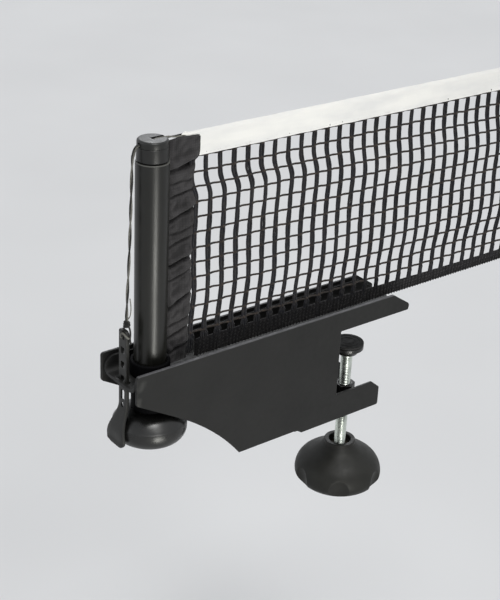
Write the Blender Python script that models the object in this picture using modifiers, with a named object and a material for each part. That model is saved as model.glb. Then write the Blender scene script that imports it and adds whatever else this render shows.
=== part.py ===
"""Table tennis net clamp, holding the end of its net.

Metres. X runs along the net towards the middle of the table, Y away from the front plate
and Z up. The origin is on top of the table, at its edge, in the plane of the net.
"""

import math

import bmesh
import bpy
from mathutils import Matrix, Vector

# Fits: the clearance between pieces that touch, and between pieces that slide or turn.
FIT = 0.0003
NEAR_ZERO = 1e-5

# What the clamp holds, and where its two upright axes stand.
TABLE_THICKNESS = 0.0224
POST_X = -0.1379
SCREW_X = 0.0250
NET_TOP = 0.1525

# Bracket: two side plates, outline seen from the front.
BRACKET_WIDTH = 0.0390
PLATE_THICKNESS = 0.0020
ARM_TOP = 0.0149
ARM_REACH = 0.0234
ARM_END_DEPTH = 0.0188
BRACE_ANGLE = math.radians(30.3)
BRACE_STRAIGHT = 0.0370
FOOT_X = -0.0810
FOOT_LENGTH = 0.0477
THROAT_DEPTH = 0.0477
JAW_X = 0.0395
JAW_BOTTOM = 0.0673
NOSE_X = 0.0612
NOSE_SLOPE_LENGTH = 0.0156
NOSE_TIP = 0.0046

# Saddle: the sheet channel between the plates, and the rubber under it.
SHEET = 0.0020
SADDLE_BEND = 0.0050
SADDLE_LIP = 0.0021
SADDLE_INSET = 0.0040
SADDLE_END_MARGIN = 0.0011
SADDLE_END_RADIUS = 0.0070
TABLE_PAD_THICKNESS = 0.0012
TABLE_PAD_LENGTH = 0.0600
TABLE_PAD_WIDTH = 0.0220
TABLE_PAD_X = 0.0260

# Jaw: the short channel under the table, and the nut of the clamping screw.
JAW_WEB_DEPTH = 0.0605
JAW_LEFT = -0.0330
JAW_RIGHT = 0.0315
JAW_BEND = 0.0030
NUT_ACROSS_FLATS = 0.0130
NUT_HEIGHT = 0.0058

# Screws: both are 8 mm.
SCREW_RADIUS = 0.0040
THREAD_CLEARANCE = 0.0003

# Post.
POST_RADIUS = 0.0100
POST_WALL = 0.0015
POST_FOOT = -0.0068
POST_SLIT_WIDTH = 0.0034
POST_SLIT_FOOT = 0.0160
THREAD_INSERT_HEIGHT = 0.0148
CAP_RADIUS = 0.0095
CAP_HEIGHT = 0.0130
CAP_ABOVE_NET = 0.0004
CAP_TAPER = 0.00035
CAP_SPIGOT = 0.0100
CAP_GROOVE_WIDTH = 0.0028
CAP_GROOVE_DEPTH = 0.0025

# Guide sleeve that the post slides in, and the bush that carries the round knob's screw.
SLEEVE_WALL = 0.0013
SLEEVE_COLLAR_OVERHANG = 0.0007
SLEEVE_COLLAR_HEIGHT = 0.0092
BUSH_HEIGHT = 0.0045
FLANGE_RADIUS = 0.0075
FLANGE_THICKNESS = 0.0015
HEIGHT_SCREW_TOP = 0.0075

# Round knob under the post, which sets the net's height.
HEIGHT_KNOB_RADIUS = 0.0234
HEIGHT_KNOB_CROWN = 0.0082
HEIGHT_KNOB_SKIRT = 0.0135
HEIGHT_KNOB_CLEARANCE = 0.0019
KNOB_INSERT_RADIUS = 0.0065
KNOB_INSERT_LENGTH = 0.0134
KNOB_FLOOR = 0.0027

# Clamping screw, its swivelling pad and its six-lobed knob.
PAD_RADIUS = 0.0110
PAD_FACE_THICKNESS = 0.0016
PAD_SHOE_HEIGHT = 0.0067
PAD_SHOE_TOP = 0.0013
PAD_SOCKET_CLEARANCE = 0.0006
RING_THICKNESS = 0.0010
RING_GROOVE_DEPTH = 0.0006
CLAMP_ROD_LENGTH = 0.0936
STAR_KNOB_RADIUS = 0.0307
STAR_KNOB_HEIGHT = 0.0352
STAR_KNOB_COLLAR = 0.0110
STAR_INSERT_RADIUS = 0.0069
STAR_INSERT_STEP = 0.0005
STAR_RECESS_DEPTH = 0.0035
STAR_SCREW_GRIP = 0.0195
LOBES = 6
SCOOP_ANGLE = math.radians(231.2)
SCOOP_DEPTH = 0.0022
SCOOP_RADIUS = 0.0260

# Net: end rod, end sleeve, mesh, top tape and bottom hem.
NET_LENGTH = 0.2860
END_ROD_RADIUS = 0.0020
END_ROD_OFFSET = 0.0057
END_ROD_FOOT = 0.0090
FABRIC = 0.0016
FOLD_HEIGHT = 0.0019
FOLD_PITCH = 0.0215
END_SLEEVE_REACH = 0.0279
END_SLEEVE_FOOT = 0.0060
MESH_COLUMNS = 25
MESH_ROWS = 12
MESH_THICKNESS = 0.0012
CORD_ACROSS_NET = 0.0012
CORD_UP_NET = 0.0023
TAPE_DEPTH = 0.0157
TAPE_THICKNESS = 0.0020
TAPE_SETBACK = 0.0045
TAPE_TIP_LENGTH = 0.0111
TAPE_TIP_DEPTH = 0.0033
HEM_FOOT = 0.0047
HEM_DEPTH = 0.0079
HEM_THICKNESS = 0.0022
HEM_SETBACK = 0.0040

# Tension strap, with its row of holes, and the cord that is knotted through it.
STRAP_THICKNESS = 0.0022
STRAP_WIDTH = 0.0084
STRAP_TOP = 0.0375
STRAP_SLOT_MARGIN = 0.0005
STRAP_SLOT_LIP = 0.0020
TAB_THICKNESS = 0.0017
TAB_WIDTH = 0.0180
TAB_FOOT = 0.0405
TAB_CLEARANCE = 0.0009
STRAP_HOLE_WIDTH = 0.0038
STRAP_HOLE_HEIGHT = 0.0042
STRAP_HOLE_PITCH = 0.0096
STRAP_HOLES = 4
STRAP_BAR = 0.0018
CORD_RADIUS = 0.0009
CORD_POINTS = 28
KNOT_RADIUS = 0.0020
LOOP_RADIUS = 0.0007

# Places that follow from the sizes above.
PLATE_GAP = FIT
WEB_UNDERSIDE = TABLE_PAD_THICKNESS + FIT
WEB_TOP = WEB_UNDERSIDE + SHEET
CHANNEL_HALF_WIDTH = BRACKET_WIDTH / 2 - PLATE_THICKNESS - FIT
PLATE_Y = BRACKET_WIDTH / 2 - PLATE_THICKNESS / 2
ARM_END_X = POST_X - ARM_REACH
ARM_END_FOOT = ARM_TOP - ARM_END_DEPTH
FOOT_Z = JAW_BOTTOM - 0.0029
SADDLE_TOP = ARM_TOP - SADDLE_LIP
SADDLE_LEFT = ARM_END_X + SADDLE_END_MARGIN
NUT_UNDERSIDE = -JAW_WEB_DEPTH + FIT
PAD_TOP = -TABLE_THICKNESS
SHOE_TOP = PAD_TOP - PAD_FACE_THICKNESS - FIT
SHOE_FOOT = SHOE_TOP - PAD_SHOE_HEIGHT
SOCKET_RADIUS = SCREW_RADIUS + PAD_SOCKET_CLEARANCE
SOCKET_TOP = SHOE_TOP - PAD_SHOE_TOP
ROD_TOP = SOCKET_TOP - FIT
ROD_FOOT = ROD_TOP - CLAMP_ROD_LENGTH
STAR_KNOB_TOP = ROD_FOOT + STAR_SCREW_GRIP
SLEEVE_BORE = POST_RADIUS + FIT
SLEEVE_RADIUS = SLEEVE_BORE + SLEEVE_WALL
COLLAR_FOOT = WEB_TOP + FIT
COLLAR_TOP = COLLAR_FOOT + SLEEVE_COLLAR_HEIGHT
COLLAR_RADIUS = SLEEVE_RADIUS + SLEEVE_COLLAR_OVERHANG
CAP_TOP = NET_TOP + CAP_ABOVE_NET
CAP_FOOT = CAP_TOP - CAP_HEIGHT
POST_TOP = CAP_FOOT - FIT
POST_BORE = POST_RADIUS - POST_WALL
END_ROD_TOP = POST_TOP - CAP_SPIGOT - FIT * 2
GROOVE_FLOOR = CAP_TOP - CAP_GROOVE_DEPTH
STRAP_FRONT = SADDLE_LEFT + STRAP_SLOT_LIP + STRAP_SLOT_MARGIN
STRAP_BACK = STRAP_FRONT + STRAP_THICKNESS
END_SLEEVE_RIGHT = POST_X + END_SLEEVE_REACH
NET_END_X = END_SLEEVE_RIGHT + NET_LENGTH
TAPE_LEFT = END_SLEEVE_RIGHT + TAPE_SETBACK
TAPE_FOOT = NET_TOP - TAPE_DEPTH
HEM_LEFT = END_SLEEVE_RIGHT + HEM_SETBACK
HEM_TOP = HEM_FOOT + HEM_DEPTH
MESH_LEFT = END_SLEEVE_RIGHT + FIT
MESH_FOOT = HEM_TOP + FIT
MESH_TOP = TAPE_FOOT - FIT

# Colour, roughness and metallic value of each finish.
FINISHES = {
    "black_paint": ((0.042, 0.042, 0.041), 0.55, 0.0),
    "satin_black": ((0.022, 0.022, 0.021), 0.32, 0.0),
    "black_plastic": ((0.014, 0.014, 0.014), 0.42, 0.0),
    "strap_plastic": ((0.045, 0.045, 0.043), 0.50, 0.0),
    "zinc_steel": ((0.46, 0.50, 0.45), 0.30, 1.0),
    "black_steel": ((0.030, 0.030, 0.030), 0.40, 0.7),
    "brass": ((0.60, 0.43, 0.18), 0.35, 1.0),
    "rubber": ((0.020, 0.020, 0.020), 0.80, 0.0),
    "black_fabric": ((0.040, 0.038, 0.038), 0.85, 0.0),
    "white_tape": ((0.88, 0.88, 0.86), 0.70, 0.0),
    "net_twine": ((0.020, 0.019, 0.022), 0.80, 0.0),
}


def clear_scene():
    for item in list(bpy.data.objects):
        bpy.data.objects.remove(item, do_unlink=True)
    for group in list(bpy.data.collections):
        bpy.data.collections.remove(group)


def new_collection(name):
    group = bpy.data.collections.new(name)
    bpy.context.scene.collection.children.link(group)
    return group


def make_finish(name, finish):
    colour, roughness, metallic = FINISHES[finish]
    material = bpy.data.materials.new(name + "_finish")
    material.use_nodes = True
    shader = material.node_tree.nodes["Principled BSDF"]
    shader.inputs["Base Color"].default_value = (*colour, 1.0)
    shader.inputs["Roughness"].default_value = roughness
    shader.inputs["Metallic"].default_value = metallic
    material.diffuse_color = (*colour, 1.0)
    return material


def make_axis(name, location, parent=None):
    """An empty on a joint's axis, which carries the pieces that move about or along it."""
    empty = bpy.data.objects.new(name, None)
    parts.objects.link(empty)
    empty.parent = parent
    empty.location = Vector(location) - world_place(parent)
    return empty


def world_place(item):
    place = Vector((0.0, 0.0, 0.0))
    while item is not None:
        place += item.location
        item = item.parent
    return place


def add_part(item, carrier, finish, location=(0.0, 0.0, 0.0)):
    """Put a piece, whose own origin is at location in the world, on the axis that carries it."""
    for group in list(item.users_collection):
        group.objects.unlink(item)
    parts.objects.link(item)
    item.parent = carrier
    item.location = Vector(location) - world_place(carrier)
    item.data.materials.clear()
    item.data.materials.append(make_finish(item.name, finish))
    return item


def add_cutter(item):
    for group in list(item.users_collection):
        group.objects.unlink(item)
    cutters.objects.link(item)
    item.hide_render = True
    item.display_type = "WIRE"
    return item


def mesh_object(name, shape):
    """An object from a bmesh, which is freed."""
    mesh = bpy.data.meshes.new(name)
    shape.normal_update()
    shape.to_mesh(mesh)
    shape.free()
    item = bpy.data.objects.new(name, mesh)
    bpy.context.scene.collection.objects.link(item)
    return item


def apply_boolean(piece, other, operation="DIFFERENCE"):
    modifier = piece.modifiers.new(other.name, "BOOLEAN")
    modifier.operation = operation
    modifier.solver = "EXACT"
    modifier.object = other


def turned(name, profile, segments=24, closed=False):
    """A profile of (radius, height) points, from top to bottom, turned about Z."""
    shape = bmesh.new()
    points = [shape.verts.new((radius, 0.0, height)) for radius, height in profile]
    ends = zip(points, points[1:] + points[:1]) if closed else zip(points, points[1:])
    for start, end in ends:
        shape.edges.new((start, end))
    item = mesh_object(name, shape)
    screw = item.modifiers.new("turn", "SCREW")
    screw.steps = segments
    screw.render_steps = segments
    screw.use_merge_vertices = True
    screw.merge_threshold = NEAR_ZERO
    screw.use_smooth_shade = True
    return item


def ring(name, outer, inner, top, foot, chamfer, segments=24):
    """A turned ring with its outer edges chamfered."""
    profile = [
        (outer - chamfer, top),
        (outer, top - chamfer),
        (outer, foot + chamfer),
        (outer - chamfer, foot),
        (inner, foot),
        (inner, top),
    ]
    return turned(name, profile, segments, closed=True)


def cylinder(name, radius, low, high, segments=32):
    """A cylinder between two points that lie along one line."""
    low = Vector(low)
    high = Vector(high)
    shape = bmesh.new()
    bmesh.ops.create_cone(
        shape, cap_ends=True, segments=segments, radius1=radius, radius2=radius,
        depth=(high - low).length,
    )
    turn = (high - low).to_track_quat("Z", "Y").to_matrix().to_4x4()
    middle = Matrix.Translation((low + high) / 2)
    bmesh.ops.transform(shape, matrix=middle @ turn, verts=shape.verts)
    return mesh_object(name, shape)


def box(name, low, high):
    shape = bmesh.new()
    bmesh.ops.create_cube(shape, size=1.0)
    size = Vector(high) - Vector(low)
    middle = (Vector(high) + Vector(low)) / 2
    matrix = Matrix.Translation(middle) @ Matrix.Diagonal((*size, 1.0))
    bmesh.ops.transform(shape, matrix=matrix, verts=shape.verts)
    return mesh_object(name, shape)


def ball(name, middle, radii, segments=20, rings=12):
    shape = bmesh.new()
    bmesh.ops.create_uvsphere(shape, u_segments=segments, v_segments=rings, radius=1.0)
    matrix = Matrix.Translation(middle) @ Matrix.Diagonal((*radii, 1.0))
    bmesh.ops.transform(shape, matrix=matrix, verts=shape.verts)
    return mesh_object(name, shape)


def rounded(corners, step=math.radians(18)):
    """Outline through (x, z, radius) corners, each turned into an arc of its radius."""
    outline = []
    for index, (x, z, radius) in enumerate(corners):
        here = Vector((x, z))
        if radius == 0.0:
            outline.append(here)
            continue
        before = (Vector(corners[index - 1][:2]) - here).normalized()
        after = (Vector(corners[(index + 1) % len(corners)][:2]) - here).normalized()
        half = before.angle(after) / 2
        middle = here + (before + after).normalized() * radius / math.sin(half)
        spoke = here + before * radius / math.tan(half) - middle
        sweep = math.pi - 2 * half
        if before.x * after.y - before.y * after.x > 0:
            sweep = -sweep
        steps = max(2, math.ceil(abs(sweep) / step))
        for turn in range(steps + 1):
            outline.append(middle + Matrix.Rotation(sweep * turn / steps, 2) @ spoke)
    return outline


def flat(name, outline, thickness, upright=True, along_x=False):
    """A flat piece from its outline: upright in XZ, across the net in YZ, or lying in XY."""
    curve = bpy.data.curves.new(name, "CURVE")
    curve.dimensions = "2D"
    curve.fill_mode = "BOTH"
    curve.extrude = thickness / 2
    spline = curve.splines.new("POLY")
    spline.points.add(len(outline) - 1)
    for point, (x, z) in zip(spline.points, outline):
        point.co = (x, z, 0.0, 1.0)
    spline.use_cyclic_u = True
    item = bpy.data.objects.new(name, curve)
    bpy.context.scene.collection.objects.link(item)
    if upright:
        item.rotation_euler = (math.pi / 2, 0.0, math.pi / 2 if along_x else 0.0)
    return item


def made_mesh(item):
    """The same piece as a mesh with its caps welded, standing where the curve stood."""
    bpy.context.view_layer.update()
    name = item.name
    depsgraph = bpy.context.evaluated_depsgraph_get()
    mesh = bpy.data.meshes.new_from_object(item.evaluated_get(depsgraph))
    shape = bmesh.new()
    shape.from_mesh(mesh)
    bpy.data.meshes.remove(mesh)
    bmesh.ops.remove_doubles(shape, verts=shape.verts, dist=NEAR_ZERO)
    bmesh.ops.transform(shape, matrix=item.matrix_world, verts=shape.verts)
    bpy.data.objects.remove(item)
    made = mesh_object(name, shape)
    made.name = name
    return made


def channel(name, section, start, end, thickness):
    """Sheet bent to a section of (y, z) points and run along X."""
    shape = bmesh.new()
    rows = [[shape.verts.new((x, y, z)) for y, z in section] for x in (start, end)]
    for index in range(len(section) - 1):
        shape.faces.new((rows[0][index], rows[1][index], rows[1][index + 1], rows[0][index + 1]))
    item = mesh_object(name, shape)
    sheet = item.modifiers.new("sheet", "SOLIDIFY")
    sheet.thickness = thickness
    sheet.offset = 0.0
    sheet.use_even_offset = True
    return item


def bent_section(half_width, web, flange_end, radius, steps=6):
    """Middle line of a channel in YZ: flange, bend, web, bend, flange."""
    side = math.copysign(1.0, flange_end - web)
    quarter = []
    for step in range(steps + 1):
        turn = math.pi / 2 * step / steps
        y = half_width - radius + radius * math.cos(turn)
        z = web + side * (radius - radius * math.sin(turn))
        quarter.append((y, z))
    right = [(half_width, flange_end)] + quarter
    return [(-y, z) for y, z in right] + [(y, z) for y, z in reversed(right)]


def smooth_route(points, count):
    """Evenly numbered points on a smooth curve through the route's own points."""
    route = [Vector(point) for point in points]
    route = [2 * route[0] - route[1]] + route + [2 * route[-1] - route[-2]]
    spans = len(route) - 3
    found = []
    for index in range(count):
        place = index * spans / (count - 1)
        span = min(int(place), spans - 1)
        t = place - span
        a, b, c, d = route[span:span + 4]
        found.append(
            0.5 * (2 * b + (c - a) * t + (2 * a - 5 * b + 4 * c - d) * t * t
                   + (3 * b - a - 3 * c + d) * t * t * t)
        )
    return found


def tube(name, points, radius, cyclic=False):
    curve = bpy.data.curves.new(name, "CURVE")
    curve.dimensions = "3D"
    curve.bevel_depth = radius
    curve.bevel_resolution = 2
    curve.use_fill_caps = True
    spline = curve.splines.new("POLY")
    spline.points.add(len(points) - 1)
    for point, place in zip(spline.points, points):
        point.co = (*place, 1.0)
    spline.use_cyclic_u = cyclic
    item = bpy.data.objects.new(name, curve)
    bpy.context.scene.collection.objects.link(item)
    return item


# Bracket


def nose_x(height):
    """The sloping front edge of the nose at a height."""
    share = (ARM_TOP - height) / (ARM_TOP - NOSE_TIP)
    return NOSE_X - NOSE_SLOPE_LENGTH * (1 - share)


def brace_z(x):
    """The plates' straight lower edge under the post."""
    return ARM_END_FOOT - (x - ARM_END_X) * math.tan(BRACE_ANGLE)


def brace_arc(steps=10):
    """Hollow curve from the foot up to the straight lower edge, which it meets smoothly."""
    along = Vector((math.cos(BRACE_ANGLE), -math.sin(BRACE_ANGLE)))
    inward = Vector((-math.sin(BRACE_ANGLE), -math.cos(BRACE_ANGLE)))
    join = Vector((ARM_END_X, ARM_END_FOOT)) + along * BRACE_STRAIGHT
    chord = join - Vector((FOOT_X, -FOOT_Z))
    radius = -chord.length_squared / (2 * inward.dot(chord))
    middle = join + inward * radius
    spoke = Vector((FOOT_X, -FOOT_Z)) - middle
    sweep = spoke.angle_signed(join - middle)
    return [middle + Matrix.Rotation(-sweep * step / steps, 2) @ spoke for step in range(steps + 1)]


def side_plate(name, side):
    """Front or back plate: arm over the table, throat round its edge, jaw under it."""
    corners = [
        (ARM_END_X, ARM_TOP, 0.0045),
        (NOSE_X - NOSE_SLOPE_LENGTH, ARM_TOP, 0.0020),
        (NOSE_X, NOSE_TIP, 0.0028),
        (NOSE_X - 0.0010, PLATE_GAP, 0.0010),
        (0.0, PLATE_GAP, 0.0005),
        (0.0, -THROAT_DEPTH, 0.0010),
        (JAW_X - 0.0070, -THROAT_DEPTH, 0.0015),
        (JAW_X, -THROAT_DEPTH - 0.0058, 0.0015),
        (JAW_X, -JAW_BOTTOM, 0.0015),
        (FOOT_X + FOOT_LENGTH + 0.0044, -JAW_BOTTOM, 0.0010),
        (FOOT_X + FOOT_LENGTH, -FOOT_Z, 0.0010),
    ]
    corners += [(x, z, 0.0) for x, z in brace_arc()]
    corners.append((ARM_END_X, ARM_END_FOOT, 0.0025))
    plate = flat(name, rounded(corners), PLATE_THICKNESS)
    return add_part(plate, bracket, "black_paint", (0.0, side * PLATE_Y, 0.0))


def saddle_channel():
    """Upward channel that sits on the table between the plates and carries the post."""
    section = bent_section(
        CHANNEL_HALF_WIDTH - SHEET / 2, WEB_UNDERSIDE + SHEET / 2, ARM_TOP + SHEET, SADDLE_BEND
    )
    saddle = channel("saddle_channel", section, SADDLE_LEFT - SHEET, NOSE_X, SHEET)
    web_end = nose_x(WEB_TOP + SHEET / 4) - SADDLE_INSET
    outline = rounded([
        (SADDLE_LEFT, -SHEET, 0.0),
        (web_end, -SHEET, 0.0),
        (web_end, WEB_TOP + SHEET / 4, 0.0),
        (nose_x(SADDLE_TOP) - SADDLE_INSET, SADDLE_TOP, 0.0010),
        (SADDLE_LEFT, SADDLE_TOP, SADDLE_END_RADIUS),
    ])
    side_view = made_mesh(flat("saddle_side_view", outline, BRACKET_WIDTH * 2))
    apply_boolean(saddle, add_cutter(side_view), "INTERSECT")
    sleeve_hole = cylinder(
        "sleeve_hole", SLEEVE_RADIUS + FIT, (POST_X, 0, -ARM_TOP), (POST_X, 0, ARM_TOP), 48
    )
    apply_boolean(saddle, add_cutter(sleeve_hole))
    slot_half_width = STRAP_WIDTH / 2 + STRAP_SLOT_MARGIN * 2.6
    strap_slot = box(
        "strap_slot",
        (STRAP_FRONT - STRAP_SLOT_MARGIN, -slot_half_width, -ARM_TOP),
        (STRAP_BACK + STRAP_SLOT_MARGIN, slot_half_width, ARM_TOP),
    )
    apply_boolean(saddle, add_cutter(strap_slot))
    return add_part(saddle, bracket, "black_paint")


def table_pad():
    """Thin rubber under the saddle, which rests on the table."""
    half_length = TABLE_PAD_LENGTH / 2
    half_width = TABLE_PAD_WIDTH / 2
    corners = [
        (-half_length, -half_width, 0.0020),
        (half_length, -half_width, 0.0020),
        (half_length, half_width, 0.0020),
        (-half_length, half_width, 0.0020),
    ]
    pad = flat("table_pad", rounded(corners), TABLE_PAD_THICKNESS, upright=False)
    return add_part(pad, bracket, "rubber", (TABLE_PAD_X, 0.0, TABLE_PAD_THICKNESS / 2))


def jaw_channel():
    """Downward channel between the plates' jaws, which takes the clamping screw."""
    section = bent_section(
        CHANNEL_HALF_WIDTH - SHEET / 2,
        -JAW_WEB_DEPTH - SHEET / 2,
        -JAW_BOTTOM + FIT * 2,
        JAW_BEND,
    )
    jaw = channel("jaw_channel", section, JAW_LEFT, JAW_RIGHT, SHEET)
    screw_hole = cylinder(
        "jaw_screw_hole", SOCKET_RADIUS, (SCREW_X, 0, -JAW_BOTTOM), (SCREW_X, 0, -THROAT_DEPTH)
    )
    apply_boolean(jaw, add_cutter(screw_hole))
    return add_part(jaw, bracket, "black_paint")


def jaw_nut():
    """Hexagon nut on the jaw's web, chamfered on its upper side."""
    corner = NUT_ACROSS_FLATS / math.sqrt(3)
    chamfer = corner - NUT_ACROSS_FLATS / 2
    foot = (SCREW_X, 0, NUT_UNDERSIDE)
    nut = cylinder("jaw_nut", corner, foot, (SCREW_X, 0, NUT_UNDERSIDE + NUT_HEIGHT), 6)
    crown = turned("nut_crown", [
        (0.0, NUT_HEIGHT),
        (corner - chamfer, NUT_HEIGHT),
        (corner + chamfer, NUT_HEIGHT - chamfer),
        (corner + chamfer, -chamfer),
        (0.0, -chamfer),
    ], 36)
    crown.location = foot
    apply_boolean(nut, add_cutter(crown), "INTERSECT")
    bore = cylinder(
        "nut_bore", SCREW_RADIUS + THREAD_CLEARANCE, (SCREW_X, 0, -JAW_BOTTOM), (SCREW_X, 0, 0)
    )
    apply_boolean(nut, add_cutter(bore))
    return add_part(nut, bracket, "black_steel")


# Post and the screw that sets its height


def knob_shoulder():
    """Height of the round knob's shoulder, just clear of the plates' sloping lower edges."""
    half_gap = BRACKET_WIDTH / 2 - PLATE_THICKNESS
    reach = math.sqrt(max(HEIGHT_KNOB_RADIUS ** 2 - half_gap ** 2, 0.0))
    return brace_z(POST_X + reach) - HEIGHT_KNOB_CLEARANCE


def knob_top():
    return knob_shoulder() + HEIGHT_KNOB_CROWN


def bush_top():
    return knob_top() + FIT + BUSH_HEIGHT


def post_guide_sleeve():
    """Turned guide whose collar stands on the saddle's web and whose bore guides the post."""
    foot = knob_top() + FIT
    lip = 0.0008
    profile = [
        (SLEEVE_BORE, COLLAR_TOP - lip / 2),
        (SLEEVE_BORE + lip / 2, COLLAR_TOP),
        (COLLAR_RADIUS - lip, COLLAR_TOP),
        (COLLAR_RADIUS, COLLAR_TOP - lip),
        (COLLAR_RADIUS, COLLAR_FOOT + lip),
        (COLLAR_RADIUS - lip / 2, COLLAR_FOOT),
        (SLEEVE_RADIUS, COLLAR_FOOT),
        (SLEEVE_RADIUS, foot),
        (SLEEVE_BORE, foot),
    ]
    sleeve = turned("post_guide_sleeve", profile, 36, closed=True)
    return add_part(sleeve, bracket, "black_plastic", (POST_X, 0.0, 0.0))


def bearing_bush():
    """Bush in the guide sleeve's lower end, which the height screw turns in."""
    bush = ring(
        "bearing_bush", POST_RADIUS, SCREW_RADIUS + THREAD_CLEARANCE, bush_top(),
        bush_top() - BUSH_HEIGHT, 0.0004,
    )
    return add_part(bush, bracket, "brass", (POST_X, 0.0, 0.0))


def height_stud():
    """Screw fixed in the round knob; its flange rests on the bush, its top is in the post."""
    flange_foot = bush_top() + FIT
    flange_top = flange_foot + FLANGE_THICKNESS
    chamfer = 0.0006
    stud = turned("height_stud", [
        (0.0, HEIGHT_SCREW_TOP),
        (SCREW_RADIUS - chamfer, HEIGHT_SCREW_TOP),
        (SCREW_RADIUS, HEIGHT_SCREW_TOP - chamfer),
        (SCREW_RADIUS, flange_top),
        (FLANGE_RADIUS, flange_top),
        (FLANGE_RADIUS, flange_foot),
        (SCREW_RADIUS, flange_foot),
        (SCREW_RADIUS, knob_floor() + FIT + chamfer),
        (SCREW_RADIUS - chamfer, knob_floor() + FIT),
        (0.0, knob_floor() + FIT),
    ], 24)
    return add_part(stud, height_knob_axis, "zinc_steel", (POST_X, 0.0, 0.0))


def knob_floor():
    """Bottom of the round knob's blind hole."""
    return knob_shoulder() - HEIGHT_KNOB_SKIRT + KNOB_FLOOR


def height_knob():
    """Smooth mushroom knob: domed crown above the shoulder, bellied skirt under it."""
    radius = HEIGHT_KNOB_RADIUS
    shoulder = knob_shoulder()
    top = knob_top()
    foot = shoulder - HEIGHT_KNOB_SKIRT
    bore = SCREW_RADIUS + THREAD_CLEARANCE
    pocket = KNOB_INSERT_RADIUS + FIT
    pocket_floor = top - FIT - KNOB_INSERT_LENGTH - FIT
    hub_radius = pocket + 0.0012
    shoulder_radius = radius * 0.966
    # This bulge lets the crown leave the flat top level.
    bulge = HEIGHT_KNOB_CROWN / (shoulder_radius - hub_radius) / 4
    crown = arc_points((hub_radius, top), (shoulder_radius, shoulder), bulge, 6)
    skirt = [
        (radius * 0.987, shoulder - HEIGHT_KNOB_SKIRT * 0.10),
        (radius, shoulder - HEIGHT_KNOB_SKIRT * 0.30),
        (radius * 0.990, shoulder - HEIGHT_KNOB_SKIRT * 0.55),
        (radius * 0.945, shoulder - HEIGHT_KNOB_SKIRT * 0.78),
        (radius * 0.860, shoulder - HEIGHT_KNOB_SKIRT * 0.92),
        (radius * 0.720, foot),
    ]
    profile = [(0.0, knob_floor()), (bore, knob_floor()), (bore, pocket_floor)]
    profile += [(pocket, pocket_floor), (pocket, top)]
    profile += crown + skirt + [(0.0, foot)]
    knob = turned("height_knob", profile, 40)
    return add_part(knob, height_knob_axis, "black_plastic", (POST_X, 0.0, 0.0))


def height_knob_insert():
    """Threaded metal bush moulded into the round knob."""
    top = knob_top() - FIT
    insert = ring(
        "height_knob_insert", KNOB_INSERT_RADIUS, SCREW_RADIUS + THREAD_CLEARANCE, top,
        top - KNOB_INSERT_LENGTH, 0.0004,
    )
    return add_part(insert, height_knob_axis, "brass", (POST_X, 0.0, 0.0))


def arc_points(start, end, bulge, steps):
    """Points on an arc from start to end; bulge is its rise as a share of the chord."""
    start = Vector(start)
    end = Vector(end)
    chord = end - start
    side = Vector((-chord.y, chord.x))
    found = []
    for step in range(steps + 1):
        share = step / steps
        found.append(tuple(start + chord * share + side * 4 * bulge * share * (1 - share)))
    return found


def post_tube():
    """Steel post, slit on the net's side for the net's end sleeve."""
    tube_ring = ring("post_tube", POST_RADIUS, POST_BORE, POST_TOP, POST_FOOT, 0.0003, 48)
    slit = box(
        "post_slit",
        (POST_BORE / 2, -POST_SLIT_WIDTH / 2, POST_SLIT_FOOT),
        (POST_RADIUS * 1.2, POST_SLIT_WIDTH / 2, POST_TOP + POST_WALL),
    )
    slit.location.x = POST_X
    apply_boolean(tube_ring, add_cutter(slit))
    return add_part(tube_ring, post, "satin_black", (POST_X, 0.0, 0.0))


def post_thread_insert():
    """Threaded plug in the post's lower end, which climbs the height screw."""
    insert = ring(
        "post_thread_insert", POST_BORE - FIT, SCREW_RADIUS + THREAD_CLEARANCE,
        POST_FOOT + THREAD_INSERT_HEIGHT, POST_FOOT, 0.0004,
    )
    return add_part(insert, post, "brass", (POST_X, 0.0, 0.0))


def post_cap():
    """Plastic plug in the post's top, grooved for the tension cord."""
    spigot = POST_BORE - FIT
    rim = 0.0015
    top_radius = CAP_RADIUS - CAP_TAPER
    profile = [(0.0, CAP_TOP), (top_radius - rim, CAP_TOP)]
    for step in range(1, 5):
        turn = math.pi / 2 * step / 4
        profile.append(
            (top_radius - rim + rim * math.sin(turn), CAP_TOP - rim + rim * math.cos(turn))
        )
    profile += [
        (CAP_RADIUS, CAP_FOOT),
        (spigot, CAP_FOOT),
        (spigot, POST_TOP - CAP_SPIGOT + rim / 3),
        (spigot - rim / 3, POST_TOP - CAP_SPIGOT),
        (0.0, POST_TOP - CAP_SPIGOT),
    ]
    cap = turned("post_cap", profile, 36)
    half = CAP_GROOVE_WIDTH / 2
    outline = rounded([
        (-half, GROOVE_FLOOR, half * 0.7),
        (half, GROOVE_FLOOR, half * 0.7),
        (half, CAP_TOP + rim, 0.0),
        (-half, CAP_TOP + rim, 0.0),
    ])
    groove = made_mesh(flat("cap_groove", outline, CAP_RADIUS * 2.4, along_x=True))
    groove.location.x = POST_X
    apply_boolean(cap, add_cutter(groove))
    return add_part(cap, post, "black_plastic", (POST_X, 0.0, 0.0))


# Net


def net_end_rod():
    """Rod in the net's end sleeve, which the post's slit holds."""
    chamfer = 0.0005
    rod = turned("net_end_rod", [
        (0.0, END_ROD_TOP),
        (END_ROD_RADIUS - chamfer, END_ROD_TOP),
        (END_ROD_RADIUS, END_ROD_TOP - chamfer),
        (END_ROD_RADIUS, END_ROD_FOOT + chamfer),
        (END_ROD_RADIUS - chamfer, END_ROD_FOOT),
        (0.0, END_ROD_FOOT),
    ], 20)
    return add_part(rod, post, "zinc_steel", (POST_X + END_ROD_OFFSET, 0.0, 0.0))


def between(value, table):
    """Value read off a table of (place, size) pairs, straight between its rows."""
    for (low, first), (high, second) in zip(table, table[1:]):
        if value <= high:
            share = max(0.0, (value - low) / (high - low))
            return first + (second - first) * share
    return table[-1][1]


def ease(share):
    share = min(1.0, max(0.0, share))
    return share * share * (3 - 2 * share)


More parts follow.
